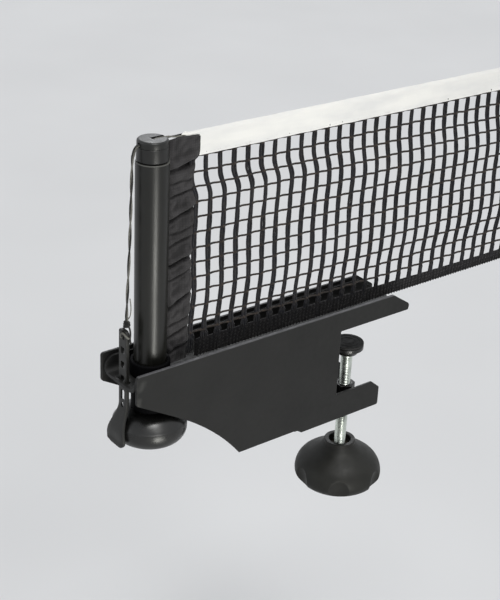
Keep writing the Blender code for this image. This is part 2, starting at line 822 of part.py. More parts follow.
def net_end_sleeve():
    """Black fabric sleeve between the post and the mesh, in slanting gathers."""
    columns = 12
    in_slit = POST_X + END_ROD_OFFSET + END_ROD_RADIUS + FIT
    past_cap = POST_X + POST_RADIUS + 0.0006
    past_collar = POST_X + COLLAR_RADIUS + 0.0004
    collar_clear = COLLAR_TOP + 0.0016
    top = NET_TOP - TAPE_TIP_DEPTH - FIT
    left = [
        (END_SLEEVE_FOOT, past_collar),
        (collar_clear, past_collar),
        (max(POST_SLIT_FOOT, collar_clear) + 0.0035, in_slit),
        (END_ROD_TOP - 0.0005, in_slit),
        (END_ROD_TOP + 0.0040, past_cap),
        (top, past_cap),
    ]
    right = [
        (END_SLEEVE_FOOT, END_SLEEVE_RIGHT),
        (TAPE_FOOT, END_SLEEVE_RIGHT),
        (TAPE_FOOT + 0.0017, TAPE_LEFT - FIT),
        (top, TAPE_LEFT - FIT),
    ]
    breaks = sorted({round(z, 6) for z, _ in left + right})
    heights = []
    for low, high in zip(breaks, breaks[1:]):
        steps = max(1, round((high - low) / 0.0042))
        heights += [low + (high - low) * step / steps for step in range(steps)]
    heights.append(breaks[-1])
    flat_edge = POST_X + POST_RADIUS + 0.0012
    shape = bmesh.new()
    rows = []
    for z in heights:
        row = []
        for column in range(columns + 1):
            share = column / columns
            x = between(z, left) + (between(z, right) - between(z, left)) * share
            rise = ease((x - flat_edge) / 0.0075)
            rise *= 1 - ease((x - END_SLEEVE_RIGHT + 0.0075) / 0.0065)
            slant = 2 * math.pi * (z + 0.75 * (x - flat_edge)) / FOLD_PITCH
            fold = math.sin(slant) + 0.38 * math.sin(slant * 2.3 + 1.1)
            row.append(shape.verts.new((x, FOLD_HEIGHT * rise * fold, z)))
        rows.append(row)
    for lower, upper in zip(rows, rows[1:]):
        for column in range(columns):
            shape.faces.new((lower[column], lower[column + 1], upper[column + 1], upper[column]))
    sleeve = mesh_object("net_end_sleeve", shape)
    cloth = sleeve.modifiers.new("cloth", "SOLIDIFY")
    cloth.thickness = FABRIC
    cloth.offset = 0.0
    return add_part(sleeve, post, "black_fabric")


def net_mesh():
    """Knotted mesh: a grid of square openings, cords between them."""
    width = NET_END_X - MESH_LEFT
    height = MESH_TOP - MESH_FOOT
    pitch = width / MESH_COLUMNS
    # The openings are inset by half a cord, so the grid's height is scaled to make both fit.
    shrink = CORD_UP_NET / CORD_ACROSS_NET
    shape = bmesh.new()
    bmesh.ops.create_grid(shape, x_segments=MESH_COLUMNS, y_segments=MESH_ROWS, size=0.5)
    spread = Matrix.Diagonal((width, height * shrink, 1.0, 1.0))
    bmesh.ops.transform(shape, matrix=spread, verts=shape.verts)
    openings = bmesh.ops.inset_individual(
        shape, faces=list(shape.faces), thickness=min(CORD_UP_NET, pitch * 0.9) / 2
    )
    rims = set(openings["faces"])
    bmesh.ops.delete(
        shape, geom=[face for face in shape.faces if face not in rims], context="FACES"
    )
    stand = Matrix.Rotation(math.pi / 2, 4, "X") @ Matrix.Diagonal((1.0, 1.0 / shrink, 1.0, 1.0))
    middle = Matrix.Translation(((NET_END_X + MESH_LEFT) / 2, 0.0, (MESH_TOP + MESH_FOOT) / 2))
    bmesh.ops.transform(shape, matrix=middle @ stand, verts=shape.verts)
    mesh = mesh_object("net_mesh", shape)
    cords = mesh.modifiers.new("cords", "SOLIDIFY")
    cords.thickness = MESH_THICKNESS
    cords.offset = 0.0
    return add_part(mesh, post, "net_twine")


def soften(piece, width):
    """Round a flat piece's edges, after its loose caps are welded."""
    weld = piece.modifiers.new("weld", "WELD")
    weld.merge_threshold = NEAR_ZERO
    bevel = piece.modifiers.new("soft_edges", "BEVEL")
    bevel.width = width
    bevel.segments = 2
    bevel.limit_method = "ANGLE"
    bevel.angle_limit = math.radians(50)


def net_top_tape():
    """White tape folded over the net's top cord; its upper strip runs on to the tension cord."""
    corners = [
        (TAPE_LEFT, TAPE_FOOT, 0.0),
        (NET_END_X, TAPE_FOOT, 0.0),
        (NET_END_X, NET_TOP, 0.0),
        (TAPE_LEFT - TAPE_TIP_LENGTH, NET_TOP, 0.0008),
        (TAPE_LEFT - TAPE_TIP_LENGTH + 0.0006, NET_TOP - TAPE_TIP_DEPTH, 0.0010),
        (TAPE_LEFT, NET_TOP - TAPE_TIP_DEPTH, 0.0),
    ]
    tape = flat("net_top_tape", rounded(corners), TAPE_THICKNESS)
    soften(tape, TAPE_THICKNESS * 0.22)
    return add_part(tape, post, "white_tape")


def net_bottom_hem():
    """Woven band along the foot of the net."""
    corners = [
        (HEM_LEFT, HEM_FOOT, 0.0010),
        (NET_END_X, HEM_FOOT, 0.0),
        (NET_END_X, HEM_TOP, 0.0),
        (HEM_LEFT, HEM_TOP, 0.0010),
    ]
    hem = flat("net_bottom_hem", rounded(corners), HEM_THICKNESS)
    soften(hem, HEM_THICKNESS * 0.22)
    return add_part(hem, post, "black_fabric")


# Tension cord and strap


def strap_section(z):
    """The strap's front face, thickness and half width at a height."""
    shoulder = knob_shoulder()
    tab_front = POST_X - HEIGHT_KNOB_RADIUS - TAB_CLEARANCE - TAB_THICKNESS
    bend_top = knob_top() + 0.0045
    bend = ease((bend_top - z) / (bend_top - shoulder + 0.0015))
    front = STRAP_FRONT + (tab_front - STRAP_FRONT) * bend
    thickness = STRAP_THICKNESS + (TAB_THICKNESS - STRAP_THICKNESS) * ease((bend_top - z) / 0.0080)
    half_width = STRAP_WIDTH / 2
    flare = ease((bend_top + 0.0020 - z) / (bend_top - shoulder + 0.0060))
    half_width += (TAB_WIDTH - STRAP_WIDTH) / 2 * flare
    # Round ends: a small radius at the top, a full one at the tab's foot.
    for centre, radius in ((STRAP_TOP - 0.0020, 0.0020), (-TAB_FOOT + 0.0060, 0.0060)):
        past = (z - centre) if centre > 0 else (centre - z)
        if past > 0:
            half_width -= radius - math.sqrt(max(radius ** 2 - past ** 2, 0.0))
    return front, thickness, half_width


def tension_strap():
    """Perforated strap, its lower end flared into a pull tab that bends out past the knob."""
    bend_top = knob_top() + 0.0045
    heights = [STRAP_TOP, STRAP_TOP - 0.0003, STRAP_TOP - 0.0010, STRAP_TOP - 0.0020, bend_top]
    steps = 12
    tab_side = -TAB_FOOT + 0.0060
    heights += [bend_top + (tab_side - bend_top) * step / steps for step in range(1, steps + 1)]
    heights += [tab_side - 0.0060 * math.sin(math.radians(turn)) for turn in (25, 45, 62, 76, 86)]
    shape = bmesh.new()
    loops = []
    for z in heights:
        front, thickness, half_width = strap_section(z)
        loops.append([
            shape.verts.new((front, -half_width, z)),
            shape.verts.new((front, half_width, z)),
            shape.verts.new((front + thickness, half_width, z)),
            shape.verts.new((front + thickness, -half_width, z)),
        ])
    for upper, lower in zip(loops, loops[1:]):
        for corner in range(4):
            after = (corner + 1) % 4
            shape.faces.new((upper[corner], upper[after], lower[after], lower[corner]))
    shape.faces.new(loops[0][::-1])
    shape.faces.new(loops[-1])
    bmesh.ops.recalc_face_normals(shape, faces=shape.faces)
    strap = mesh_object("tension_strap", shape)
    for number in range(STRAP_HOLES):
        middle = strap_hole_z(number)
        hole = strap_hole(f"strap_hole_{number}", middle, STRAP_HOLE_HEIGHT)
        apply_boolean(strap, add_cutter(hole))
    lowest = strap_hole_z(STRAP_HOLES - 1)
    long_slot = strap_hole("strap_long_slot", lowest - 0.0110, STRAP_HOLE_HEIGHT * 1.6)
    apply_boolean(strap, add_cutter(long_slot))
    eye_z = lowest - 0.0180
    eye = cylinder("strap_eye", 0.0012, (SADDLE_LEFT, 0, eye_z), (POST_X, 0, eye_z), 16)
    apply_boolean(strap, add_cutter(eye))
    return add_part(strap, strap_slide, "strap_plastic")


def strap_hole_z(number):
    return STRAP_TOP - STRAP_BAR - STRAP_HOLE_HEIGHT / 2 - STRAP_HOLE_PITCH * number


def strap_hole(name, middle, height):
    """Cutter for a hole through the strap, with rounded corners."""
    half_width = STRAP_HOLE_WIDTH / 2
    corner = STRAP_HOLE_WIDTH * 0.16
    outline = rounded([
        (-half_width, middle - height / 2, corner),
        (half_width, middle - height / 2, corner),
        (half_width, middle + height / 2, corner),
        (-half_width, middle + height / 2, corner),
    ], math.radians(45))
    cutter = made_mesh(flat(name, outline, STRAP_THICKNESS * 4, along_x=True))
    cutter.location.x = (STRAP_FRONT + STRAP_BACK) / 2
    return cutter


def cord_route():
    """Tension cord: from the tape's tip, over the cap in its groove, down to the strap."""
    over_cap = GROOVE_FLOOR + FIT + CORD_RADIUS
    tip = TAPE_LEFT - TAPE_TIP_LENGTH - FIT
    rim = POST_X - CAP_RADIUS
    knot_x = (STRAP_FRONT + STRAP_BACK) / 2 + 0.0022
    return [
        (tip, 0.0, NET_TOP - 0.0014),
        (tip - 0.0060, 0.0, NET_TOP - 0.0013),
        (POST_X + CAP_RADIUS, 0.0, over_cap + 0.0002),
        (POST_X, 0.0, over_cap),
        (rim + 0.0012, 0.0, over_cap + 0.0001),
        (rim - 0.0010, 0.0, over_cap - 0.0006),
        (rim - 0.0023, 0.0, over_cap - 0.0022),
        (rim - 0.0034, 0.0, over_cap - 0.0055),
        (rim - 0.0042, 0.0, over_cap - 0.0120),
        (rim - 0.0050, 0.0, over_cap - 0.0410),
        (rim - 0.0058, 0.0, over_cap - 0.0660),
        (knot_x - 0.0002, 0.0, over_cap - 0.0960),
        (knot_x, 0.0, STRAP_TOP + 0.0061),
    ]


def tension_cord():
    cord = tube("tension_cord", smooth_route(cord_route(), CORD_POINTS), CORD_RADIUS)
    return add_part(cord, post, "net_twine")


def cord_knot():
    """Knot, with the loop that goes through the strap's top hole and over its top bar."""
    middle = (STRAP_FRONT + STRAP_BACK) / 2
    reach = STRAP_THICKNESS / 2 + FIT + LOOP_RADIUS
    foot = STRAP_TOP - STRAP_BAR - FIT - LOOP_RADIUS
    top = STRAP_TOP + 0.0032
    outline = rounded([
        (middle - reach, foot, reach * 0.45),
        (middle + reach, foot, reach * 0.45),
        (middle + reach, top, reach * 0.8),
        (middle - reach, top, reach * 0.8),
    ], math.radians(30))
    route = [(x, 0.0, z) for x, z in outline]
    loop = made_mesh(tube("cord_knot", route, LOOP_RADIUS, cyclic=True))
    knot = ball(
        "knot_ball", (middle + 0.0012, 0.0, STRAP_TOP + 0.0036),
        (KNOT_RADIUS, KNOT_RADIUS * 0.85, KNOT_RADIUS), 12, 8,
    )
    apply_boolean(loop, add_cutter(knot), "UNION")
    return add_part(loop, strap_slide, "net_twine")


# Clamping screw


def ring_groove():
    """Top and foot of the groove that the pad's retaining ring sits in."""
    top = SOCKET_TOP - PAD_SHOE_HEIGHT * 0.30
    return top, top - RING_THICKNESS - FIT * 2


def pad_face():
    """Rubber disc that presses on the underside of the table."""
    profile = [
        (0.0, PAD_TOP),
        (PAD_RADIUS - 0.0006, PAD_TOP),
        (PAD_RADIUS, PAD_TOP - 0.0006),
        (PAD_RADIUS, PAD_TOP - PAD_FACE_THICKNESS),
        (0.0, PAD_TOP - PAD_FACE_THICKNESS),
    ]
    face = turned("pad_face", profile, 28)
    return add_part(face, clamp_pad, "rubber", (SCREW_X, 0.0, 0.0))


def pad_shoe():
    """Swivelling shoe, its socket open from below, grooved for the retaining ring."""
    groove_top, groove_foot = ring_groove()
    groove_radius = SOCKET_RADIUS + 0.0009
    hub = groove_radius + 0.0015
    profile = [
        (0.0, SHOE_TOP),
        (PAD_RADIUS - 0.0008, SHOE_TOP),
        (PAD_RADIUS, SHOE_TOP - 0.0008),
        (PAD_RADIUS, SHOE_TOP - 0.0026),
        (hub + 0.0014, SHOE_TOP - 0.0048),
        (hub, SHOE_FOOT),
        (SOCKET_RADIUS, SHOE_FOOT),
        (SOCKET_RADIUS, groove_foot),
        (groove_radius, groove_foot),
        (groove_radius, groove_top),
        (SOCKET_RADIUS, groove_top),
        (SOCKET_RADIUS, SOCKET_TOP),
        (0.0, SOCKET_TOP),
    ]
    shoe = turned("pad_shoe", profile, 28)
    return add_part(shoe, clamp_pad, "black_plastic", (SCREW_X, 0.0, 0.0))


def pad_retaining_ring():
    """Snap ring that keeps the shoe on the screw while it turns."""
    groove_top, groove_foot = ring_groove()
    inner = SCREW_RADIUS - RING_GROOVE_DEPTH + FIT
    snap = ring(
        "pad_retaining_ring", SOCKET_RADIUS + 0.0006, inner, groove_top - FIT,
        groove_foot + FIT, 0.0002,
    )
    return add_part(snap, clamp_pad, "zinc_steel", (SCREW_X, 0.0, 0.0))


def clamp_rod():
    """Zinc-plated clamping screw, necked for the retaining ring."""
    groove_top, groove_foot = ring_groove()
    neck = SCREW_RADIUS - RING_GROOVE_DEPTH
    chamfer = 0.0008
    rod = turned("clamp_rod", [
        (0.0, ROD_TOP),
        (SCREW_RADIUS - chamfer, ROD_TOP),
        (SCREW_RADIUS, ROD_TOP - chamfer),
        (SCREW_RADIUS, groove_top),
        (neck, groove_top),
        (neck, groove_foot),
        (SCREW_RADIUS, groove_foot),
        (SCREW_RADIUS, ROD_FOOT + chamfer),
        (SCREW_RADIUS - chamfer, ROD_FOOT),
        (0.0, ROD_FOOT),
    ], 24)
    return add_part(rod, clamp_screw, "zinc_steel", (SCREW_X, 0.0, 0.0))


def star_knob():
    """Bell-shaped knob with six finger scoops round its skirt."""
    top = STAR_KNOB_TOP
    height = STAR_KNOB_HEIGHT
    radius = STAR_KNOB_RADIUS
    collar = STAR_KNOB_COLLAR
    bore = SCREW_RADIUS + THREAD_CLEARANCE
    pocket = STAR_INSERT_RADIUS + FIT
    floor = ROD_FOOT - FIT
    recess_foot = top - STAR_RECESS_DEPTH
    pocket_foot = floor + STAR_INSERT_STEP
    flare = arc_points(
        (collar + 0.0020, top - 0.0032), (radius * 0.94, top - height * 0.51), 0.037, 5
    )
    belly = [
        (radius * 0.993, top - height * 0.64),
        (radius, top - height * 0.72),
        (radius * 0.971, top - height * 0.83),
        (radius * 0.896, top - height * 0.925),
        (radius * 0.798, top - height * 0.982),
    ]
    profile = [(0.0, floor), (bore, floor), (bore, pocket_foot), (pocket, pocket_foot)]
    profile += [(pocket, recess_foot), (pocket + 0.0006, recess_foot), (pocket + 0.0006, top)]
    profile += [(collar - 0.0004, top), (collar, top - 0.0006), (collar, top - 0.0020)]
    profile += flare + belly + [(radius * 0.70, top - height), (0.0, top - height)]
    knob = turned("star_knob", profile, 48)
    # Each scoop is a wide upright cylinder, so its rounded top is where it runs out of the bell.
    reach = radius - SCOOP_DEPTH + SCOOP_RADIUS
    for lobe in range(LOBES):
        angle = SCOOP_ANGLE + 2 * math.pi * lobe / LOBES
        foot = Vector((SCREW_X, 0.0, top - height * 1.1))
        foot += Matrix.Rotation(angle, 3, "Z") @ Vector((reach, 0.0, 0.0))
        head = foot + Vector((0.0, 0.0, height))
        scoop = cylinder(f"finger_scoop_{lobe}", SCOOP_RADIUS, foot, head, 48)
        apply_boolean(knob, add_cutter(scoop))
    return add_part(knob, clamp_screw, "black_plastic", (SCREW_X, 0.0, 0.0))


def star_knob_insert():
    """Threaded metal bush moulded into the star knob."""
    insert = ring(
        "star_knob_insert", STAR_INSERT_RADIUS, SCREW_RADIUS + THREAD_CLEARANCE,
        STAR_KNOB_TOP - STAR_RECESS_DEPTH - FIT, ROD_FOOT + STAR_INSERT_STEP, 0.0004,
    )
    return add_part(insert, clamp_screw, "brass", (SCREW_X, 0.0, 0.0))


clear_scene()
parts = new_collection("table_tennis_net_clamp")
cutters = new_collection("cutters")

bracket = make_axis("bracket_frame", (0.0, 0.0, 0.0))
post = make_axis("post_slide", (POST_X, 0.0, 0.0), bracket)
height_knob_axis = make_axis("height_knob_axis", (POST_X, 0.0, 0.0), bracket)
strap_slide = make_axis("strap_slide", (STRAP_FRONT, 0.0, 0.0), post)
clamp_pad = make_axis("clamp_pad_slide", (SCREW_X, 0.0, 0.0), bracket)
clamp_screw = make_axis("clamp_screw_axis", (SCREW_X, 0.0, 0.0), clamp_pad)

side_plate("front_side_plate", -1)
side_plate("back_side_plate", 1)
saddle_channel()
table_pad()
jaw_channel()
jaw_nut()
post_guide_sleeve()
bearing_bush()
height_stud()
height_knob()
height_knob_insert()
post_tube()
post_thread_insert()
post_cap()
net_end_rod()
net_end_sleeve()
net_mesh()
net_top_tape()
net_bottom_hem()
tension_cord()
tension_strap()
cord_knot()
pad_face()
pad_shoe()
pad_retaining_ring()
clamp_rod()
star_knob()
star_knob_insert()
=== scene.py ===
import math

import bpy
import bmesh
import numpy as np
from mathutils import Matrix, Vector, noise


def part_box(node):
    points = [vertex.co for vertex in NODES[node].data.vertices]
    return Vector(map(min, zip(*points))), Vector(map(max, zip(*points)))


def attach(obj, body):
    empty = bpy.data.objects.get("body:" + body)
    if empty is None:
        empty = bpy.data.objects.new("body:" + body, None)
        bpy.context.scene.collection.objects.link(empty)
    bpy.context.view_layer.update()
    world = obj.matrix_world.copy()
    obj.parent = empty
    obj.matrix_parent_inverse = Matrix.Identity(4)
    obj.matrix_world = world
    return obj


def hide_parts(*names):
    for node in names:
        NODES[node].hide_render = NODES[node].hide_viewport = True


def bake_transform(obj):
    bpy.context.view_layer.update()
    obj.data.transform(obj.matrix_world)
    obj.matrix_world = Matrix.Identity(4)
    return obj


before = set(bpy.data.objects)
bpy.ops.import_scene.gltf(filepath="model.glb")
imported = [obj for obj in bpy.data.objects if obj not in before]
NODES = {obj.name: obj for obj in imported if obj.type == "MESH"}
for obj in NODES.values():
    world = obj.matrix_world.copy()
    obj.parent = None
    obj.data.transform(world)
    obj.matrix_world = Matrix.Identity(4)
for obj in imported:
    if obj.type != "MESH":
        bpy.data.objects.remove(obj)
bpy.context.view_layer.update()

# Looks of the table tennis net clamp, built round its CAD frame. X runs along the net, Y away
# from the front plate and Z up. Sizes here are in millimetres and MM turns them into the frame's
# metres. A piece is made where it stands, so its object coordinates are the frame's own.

MM = 0.001
TURN = 2 * math.pi


def low(node):
    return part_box(node)[0] / MM


def high(node):
    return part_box(node)[1] / MM


# Places, from the frame.
POST_X = (low("post_tube").x + high("post_tube").x) / 2
POST_TOP = high("post_tube").z
SCREW_X = (low("clamp_rod").x + high("clamp_rod").x) / 2
NET_RIGHT = high("net_mesh").x
TAPE_FOOT = low("net_top_tape").z
TAPE_TOP = high("net_top_tape").z
HEM_FOOT = low("net_bottom_hem").z
HEM_LEFT = low("net_bottom_hem").x
STRAP_TOP = high("tension_strap").z

# Sizes that the CAD has too, and the angle in degrees past which an edge is shaded sharp.
POST_RADIUS = 10.0
POST_BORE = 8.5
SCREW_RADIUS = 4.0
STRAP_FRONT = -157.7
SHARP = 32.0

# Side plate: its outline's corners as x, z and radius, and the hollow arc under the arm.
PLATE_TOP = 14.9
PLATE_CORNERS = [
    (-161.3, PLATE_TOP, 2.0), (45.6, PLATE_TOP, 2.0), (61.2, 4.6, 2.8), (60.2, 0.3, 1.0),
    (0.0, 0.3, 0.5), (0.0, -47.7, 1.0), (32.5, -47.7, 1.5), (39.5, -53.5, 1.5),
    (39.5, -67.3, 1.5), (-28.9, -67.3, 1.0), (-33.3, -64.4, 1.0),
]
PLATE_FOOT = (-81.0, -64.4)
BRACE_START = (-161.3, -3.9)
BRACE_ANGLE = math.radians(30.3)
BRACE_STRAIGHT = 37.0
EDGE_ROUND = 0.42
# How much sooner the front plate ends at the post, and its pale marks there: place and reach.
FRONT_PLATE_END = 1.2
WELD_MARKS = [((-155.9, -19.5, 9.3), 3.6), ((-157.6, -19.5, 6.2), 3.2),
              ((-158.6, -19.5, -1.2), 3.0), ((-159.0, -19.5, -4.9), 3.2)]

# Star knob's finger scoops: their number, where the first lies, their radius, how far out their
# floor is 18 mm below the knob's top, how much it leans in further down, and a reach past them.
SCOOPS = 6
FIRST_SCOOP = math.radians(231.2)
SCOOP_RADIUS = 12.0
SCOOP_FLOOR = 29.0
SCOOP_LEAN = 0.20
BEYOND = 99.0

# Net: spacing of its upright cords and its rows, and the radii of both.
CORD_PITCH = 10.33
FIRST_CORD_X = -110.33
CORDS = 28
ROW_PITCH = 9.72
TOP_ROW_Z = 136.5
ROWS = 12
UPRIGHT_RADIUS = 0.90
CROSS_RADIUS = 0.68

# Camera, as solved from the photograph's straight edges.
CAMERA_PLACE = (-0.54359, -0.59737, 0.40689)
CAMERA_AZIMUTH = -38.84
CAMERA_ELEVATION = 26.05
CAMERA_ROLL = 2.74
LENS = 81.33
SENSOR = 36.0

# Floor, in mm, and the place in the frame's metres that the lamps look at.
FLOOR_Z = -400.0
FLOOR_REACH = 6000.0
LIT_PLACE = Vector((-0.03, 0.0, 0.02))


# Helpers


def ease(share):
    share = min(1.0, max(0.0, share))
    return share * share * (3 - 2 * share)


def between(value, table):
    """Value read off a table of (place, size) pairs, straight between its rows."""
    for (start, first), (end, second) in zip(table, table[1:]):
        if value <= end:
            return first + (second - first) * max(0.0, (value - start) / (end - start))
    return table[-1][1]


def steps(start, end, size):
    """Evenly spaced values from start to end, about size apart."""
    count = max(1, round(abs(end - start) / size))
    return [start + (end - start) * step / count for step in range(count + 1)]


def turns(count):
    """Angles evenly spaced round a full turn."""
    return [TURN * step / count for step in range(count)]


def around(axis_x, reach, turn, z):
    """The point at a reach and angle from an upright axis."""
    return (axis_x + reach * math.cos(turn), reach * math.sin(turn), z)


def rough(x, y, z, size):
    """Smooth noise from -1 to 1 with features of a size, at a place in mm."""
    return noise.noise(Vector((x, y, z)) / size) * 1.6


class Shape:
    """Points and faces of a piece, in mm, gathered before its mesh is made."""

    def __init__(self):
        self.points = []
        self.faces = []
        self.finish = []

    def grid(self, rows, closed=False, capped=False, joined=False, finish=0):
        """Faces between rows of points. closed joins each row's ends, joined the last row."""
        start = len(self.points)
        count = len(rows[0])
        for row in rows:
            self.points.extend(tuple(point) for point in row)
        pairs = [(start + r * count, start + (r + 1) * count) for r in range(len(rows) - 1)]
        if joined:
            pairs.append((pairs[-1][1], start))
        for a, b in pairs:
            for i in range(count if closed else count - 1):
                j = (i + 1) % count
                self.faces.append((a + i, a + j, b + j, b + i))
        if capped:
            self.faces.append(tuple(range(start + count - 1, start - 1, -1)))
            last = start + (len(rows) - 1) * count
            self.faces.append(tuple(range(last, last + count)))
        self.finish.extend([finish] * (len(self.faces) - len(self.finish)))

    def strand(self, path, radius, sides=6, finish=0):
        """A round strand along a path."""
        route = np.array([tuple(point) for point in path], float)
        along = np.gradient(route, axis=0)
        along /= np.maximum(np.linalg.norm(along, axis=1), 1e-9)[:, None]
        side = np.cross(along[0], (0.3, 1.0, 0.2))
        if np.linalg.norm(side) < 0.2:
            side = np.cross(along[0], (1.0, 0.1, 0.3))
        rows = []
        ring = np.array(turns(sides))
        for point, way in zip(route, along):
            side = side - way * side.dot(way)
            side /= np.linalg.norm(side)
            spokes = np.outer(np.cos(ring), side) + np.outer(np.sin(ring), np.cross(way, side))
            rows.append(point + radius * spokes)
        self.grid(rows, closed=True, capped=True, finish=finish)

    def ball(self, middle, radii, finish=0):
        """A small rounded lump."""
        rows = []
        for tilt in (math.pi * (ring + 0.5) / 5 for ring in range(5)):
            rows.append([(middle[0] + radii[0] * math.sin(tilt) * math.cos(turn),
                          middle[1] + radii[1] * math.sin(tilt) * math.sin(turn),
                          middle[2] + radii[2] * math.cos(tilt)) for turn in turns(8)])
        self.grid(rows, closed=True, capped=True, finish=finish)

    def piece(self, name, sharp=SHARP):
        """The shape as an object, smooth but for edges sharper than an angle."""
        mesh = bpy.data.meshes.new(name)
        mesh.from_pydata([Vector(point) * MM for point in self.points], [], self.faces)
        mesh.polygons.foreach_set("material_index", self.finish)
        shape = bmesh.new()
        shape.from_mesh(mesh)
        bmesh.ops.recalc_face_normals(shape, faces=shape.faces)
        shape.to_mesh(mesh)
        shape.free()
        smooth(mesh, sharp)
        made = bpy.data.objects.new(name, mesh)
        bpy.context.scene.collection.objects.link(made)
        return made


def smooth(mesh, sharp):
    """Shades the mesh smooth but for edges sharper than an angle."""
    mesh.polygons.foreach_set("use_smooth", [True] * len(mesh.polygons))
    mesh.set_sharp_from_angle(angle=math.radians(sharp))


def lofted(name, rows, sharp=SHARP, joined=False):
    """A closed skin through rows of points, capped at its ends or joined into a ring."""
    shape = Shape()
    shape.grid(rows, closed=True, capped=not joined, joined=joined)
    return shape.piece(name, sharp)


def channel(name, outline, start, end):
    """A cutter: an outline of (y, z) points drawn out along X."""
    return lofted(name, [[(x, y, z) for y, z in outline] for x in (start, end)])


def cut(piece, *cutters):
    """Takes the cutters out of the piece's mesh and removes them."""
    for cutter in cutters:
        modifier = piece.modifiers.new("cut", "BOOLEAN")
        modifier.object = cutter
        modifier.solver = "EXACT"
    bpy.context.view_layer.update()
    depsgraph = bpy.context.evaluated_depsgraph_get()
    mesh = bpy.data.meshes.new_from_object(piece.evaluated_get(depsgraph))
    piece.modifiers.clear()
    piece.data = mesh
    smooth(mesh, SHARP)
    for cutter in cutters:
        bpy.data.objects.remove(cutter)
    return piece


def softened(node, width):
    """A copy of a CAD node with its edges rounded and its faces kept flat."""
    mesh = NODES[node].data.copy()
    shape = bmesh.new()
    shape.from_mesh(mesh)
    bmesh.ops.remove_doubles(shape, verts=shape.verts, dist=0.002 * MM)
    bmesh.ops.dissolve_limit(
        shape, angle_limit=math.radians(1.0), verts=shape.verts, edges=shape.edges
    )
    shape.to_mesh(mesh)
    shape.free()
    mesh.polygons.foreach_set("use_smooth", [True] * len(mesh.polygons))
    made = bpy.data.objects.new(node + "_detail", mesh)
    bpy.context.scene.collection.objects.link(made)
    bevel = made.modifiers.new("edges", "BEVEL")
    bevel.width = width * MM
    bevel.segments = 3
    bevel.limit_method = "ANGLE"
    bevel.angle_limit = math.radians(35)
    bevel.harden_normals = True
    return made


def place(piece, body, slot, looks, *nodes):
    """Gives the piece its materials and the body it rides on, and hides the CAD nodes it stands
    for.
    """
    if piece.data.materials:  # clearing an empty list would reset the faces' finishes
        piece.data.materials.clear()
    for look in looks if isinstance(looks, (list, tuple)) else [looks]:
        piece.data.materials.append(look)
    if nodes:
        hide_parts(*nodes)
    if body:
        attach(piece, body)
    return piece


def turned(name, profile, axis_x, segments=96, ring=False, sharp=SHARP):
    """A profile of (radius, height) points turned about an upright axis; a ring's closes."""
    rows = [[around(axis_x, radius, turn, z) for turn in turns(segments)]
            for radius, z in profile]
    return lofted(name, rows, sharp, joined=ring)


def filleted(corners, closed=False, step=math.radians(10)):
    """Points through (x, z, radius) corners, each turned into an arc of its radius."""
    found = []
    count = len(corners)
    for index, (x, z, radius) in enumerate(corners):
        here = Vector((x, z))
        if radius == 0.0 or (not closed and index in (0, count - 1)):
            found.append(here)
            continue
        before = (Vector(corners[index - 1][:2]) - here).normalized()
        after = (Vector(corners[(index + 1) % count][:2]) - here).normalized()
        half = before.angle(after) / 2
        if half > math.radians(89):
            found.append(here)
            continue
        middle = here + (before + after).normalized() * radius / math.sin(half)
        spoke = here + before * radius / math.tan(half) - middle
        sweep = math.pi - 2 * half
        if before.x * after.y - before.y * after.x > 0:
            sweep = -sweep
        turns = max(2, math.ceil(abs(sweep) / step))
        for turn in range(turns + 1):
            found.append(middle + Matrix.Rotation(sweep * turn / turns, 2) @ spoke)
    return [tuple(point) for point in found]


def curve_through(points, per_span=6):
    """Points on a smooth curve through the given 2D or 3D points."""
    route = [Vector(point) for point in points]
    route = [2 * route[0] - route[1]] + route + [2 * route[-1] - route[-2]]
    found = []
    for a, b, c, d in zip(route, route[1:], route[2:], route[3:]):
        for step in range(per_span):
            t = step / per_span
            found.append(
                0.5 * (2 * b + (c - a) * t + (2 * a - 5 * b + 4 * c - d) * t * t
                       + (3 * b - a - 3 * c + d) * t * t * t)
            )
    found.append(route[-2])
    return found


# Materials


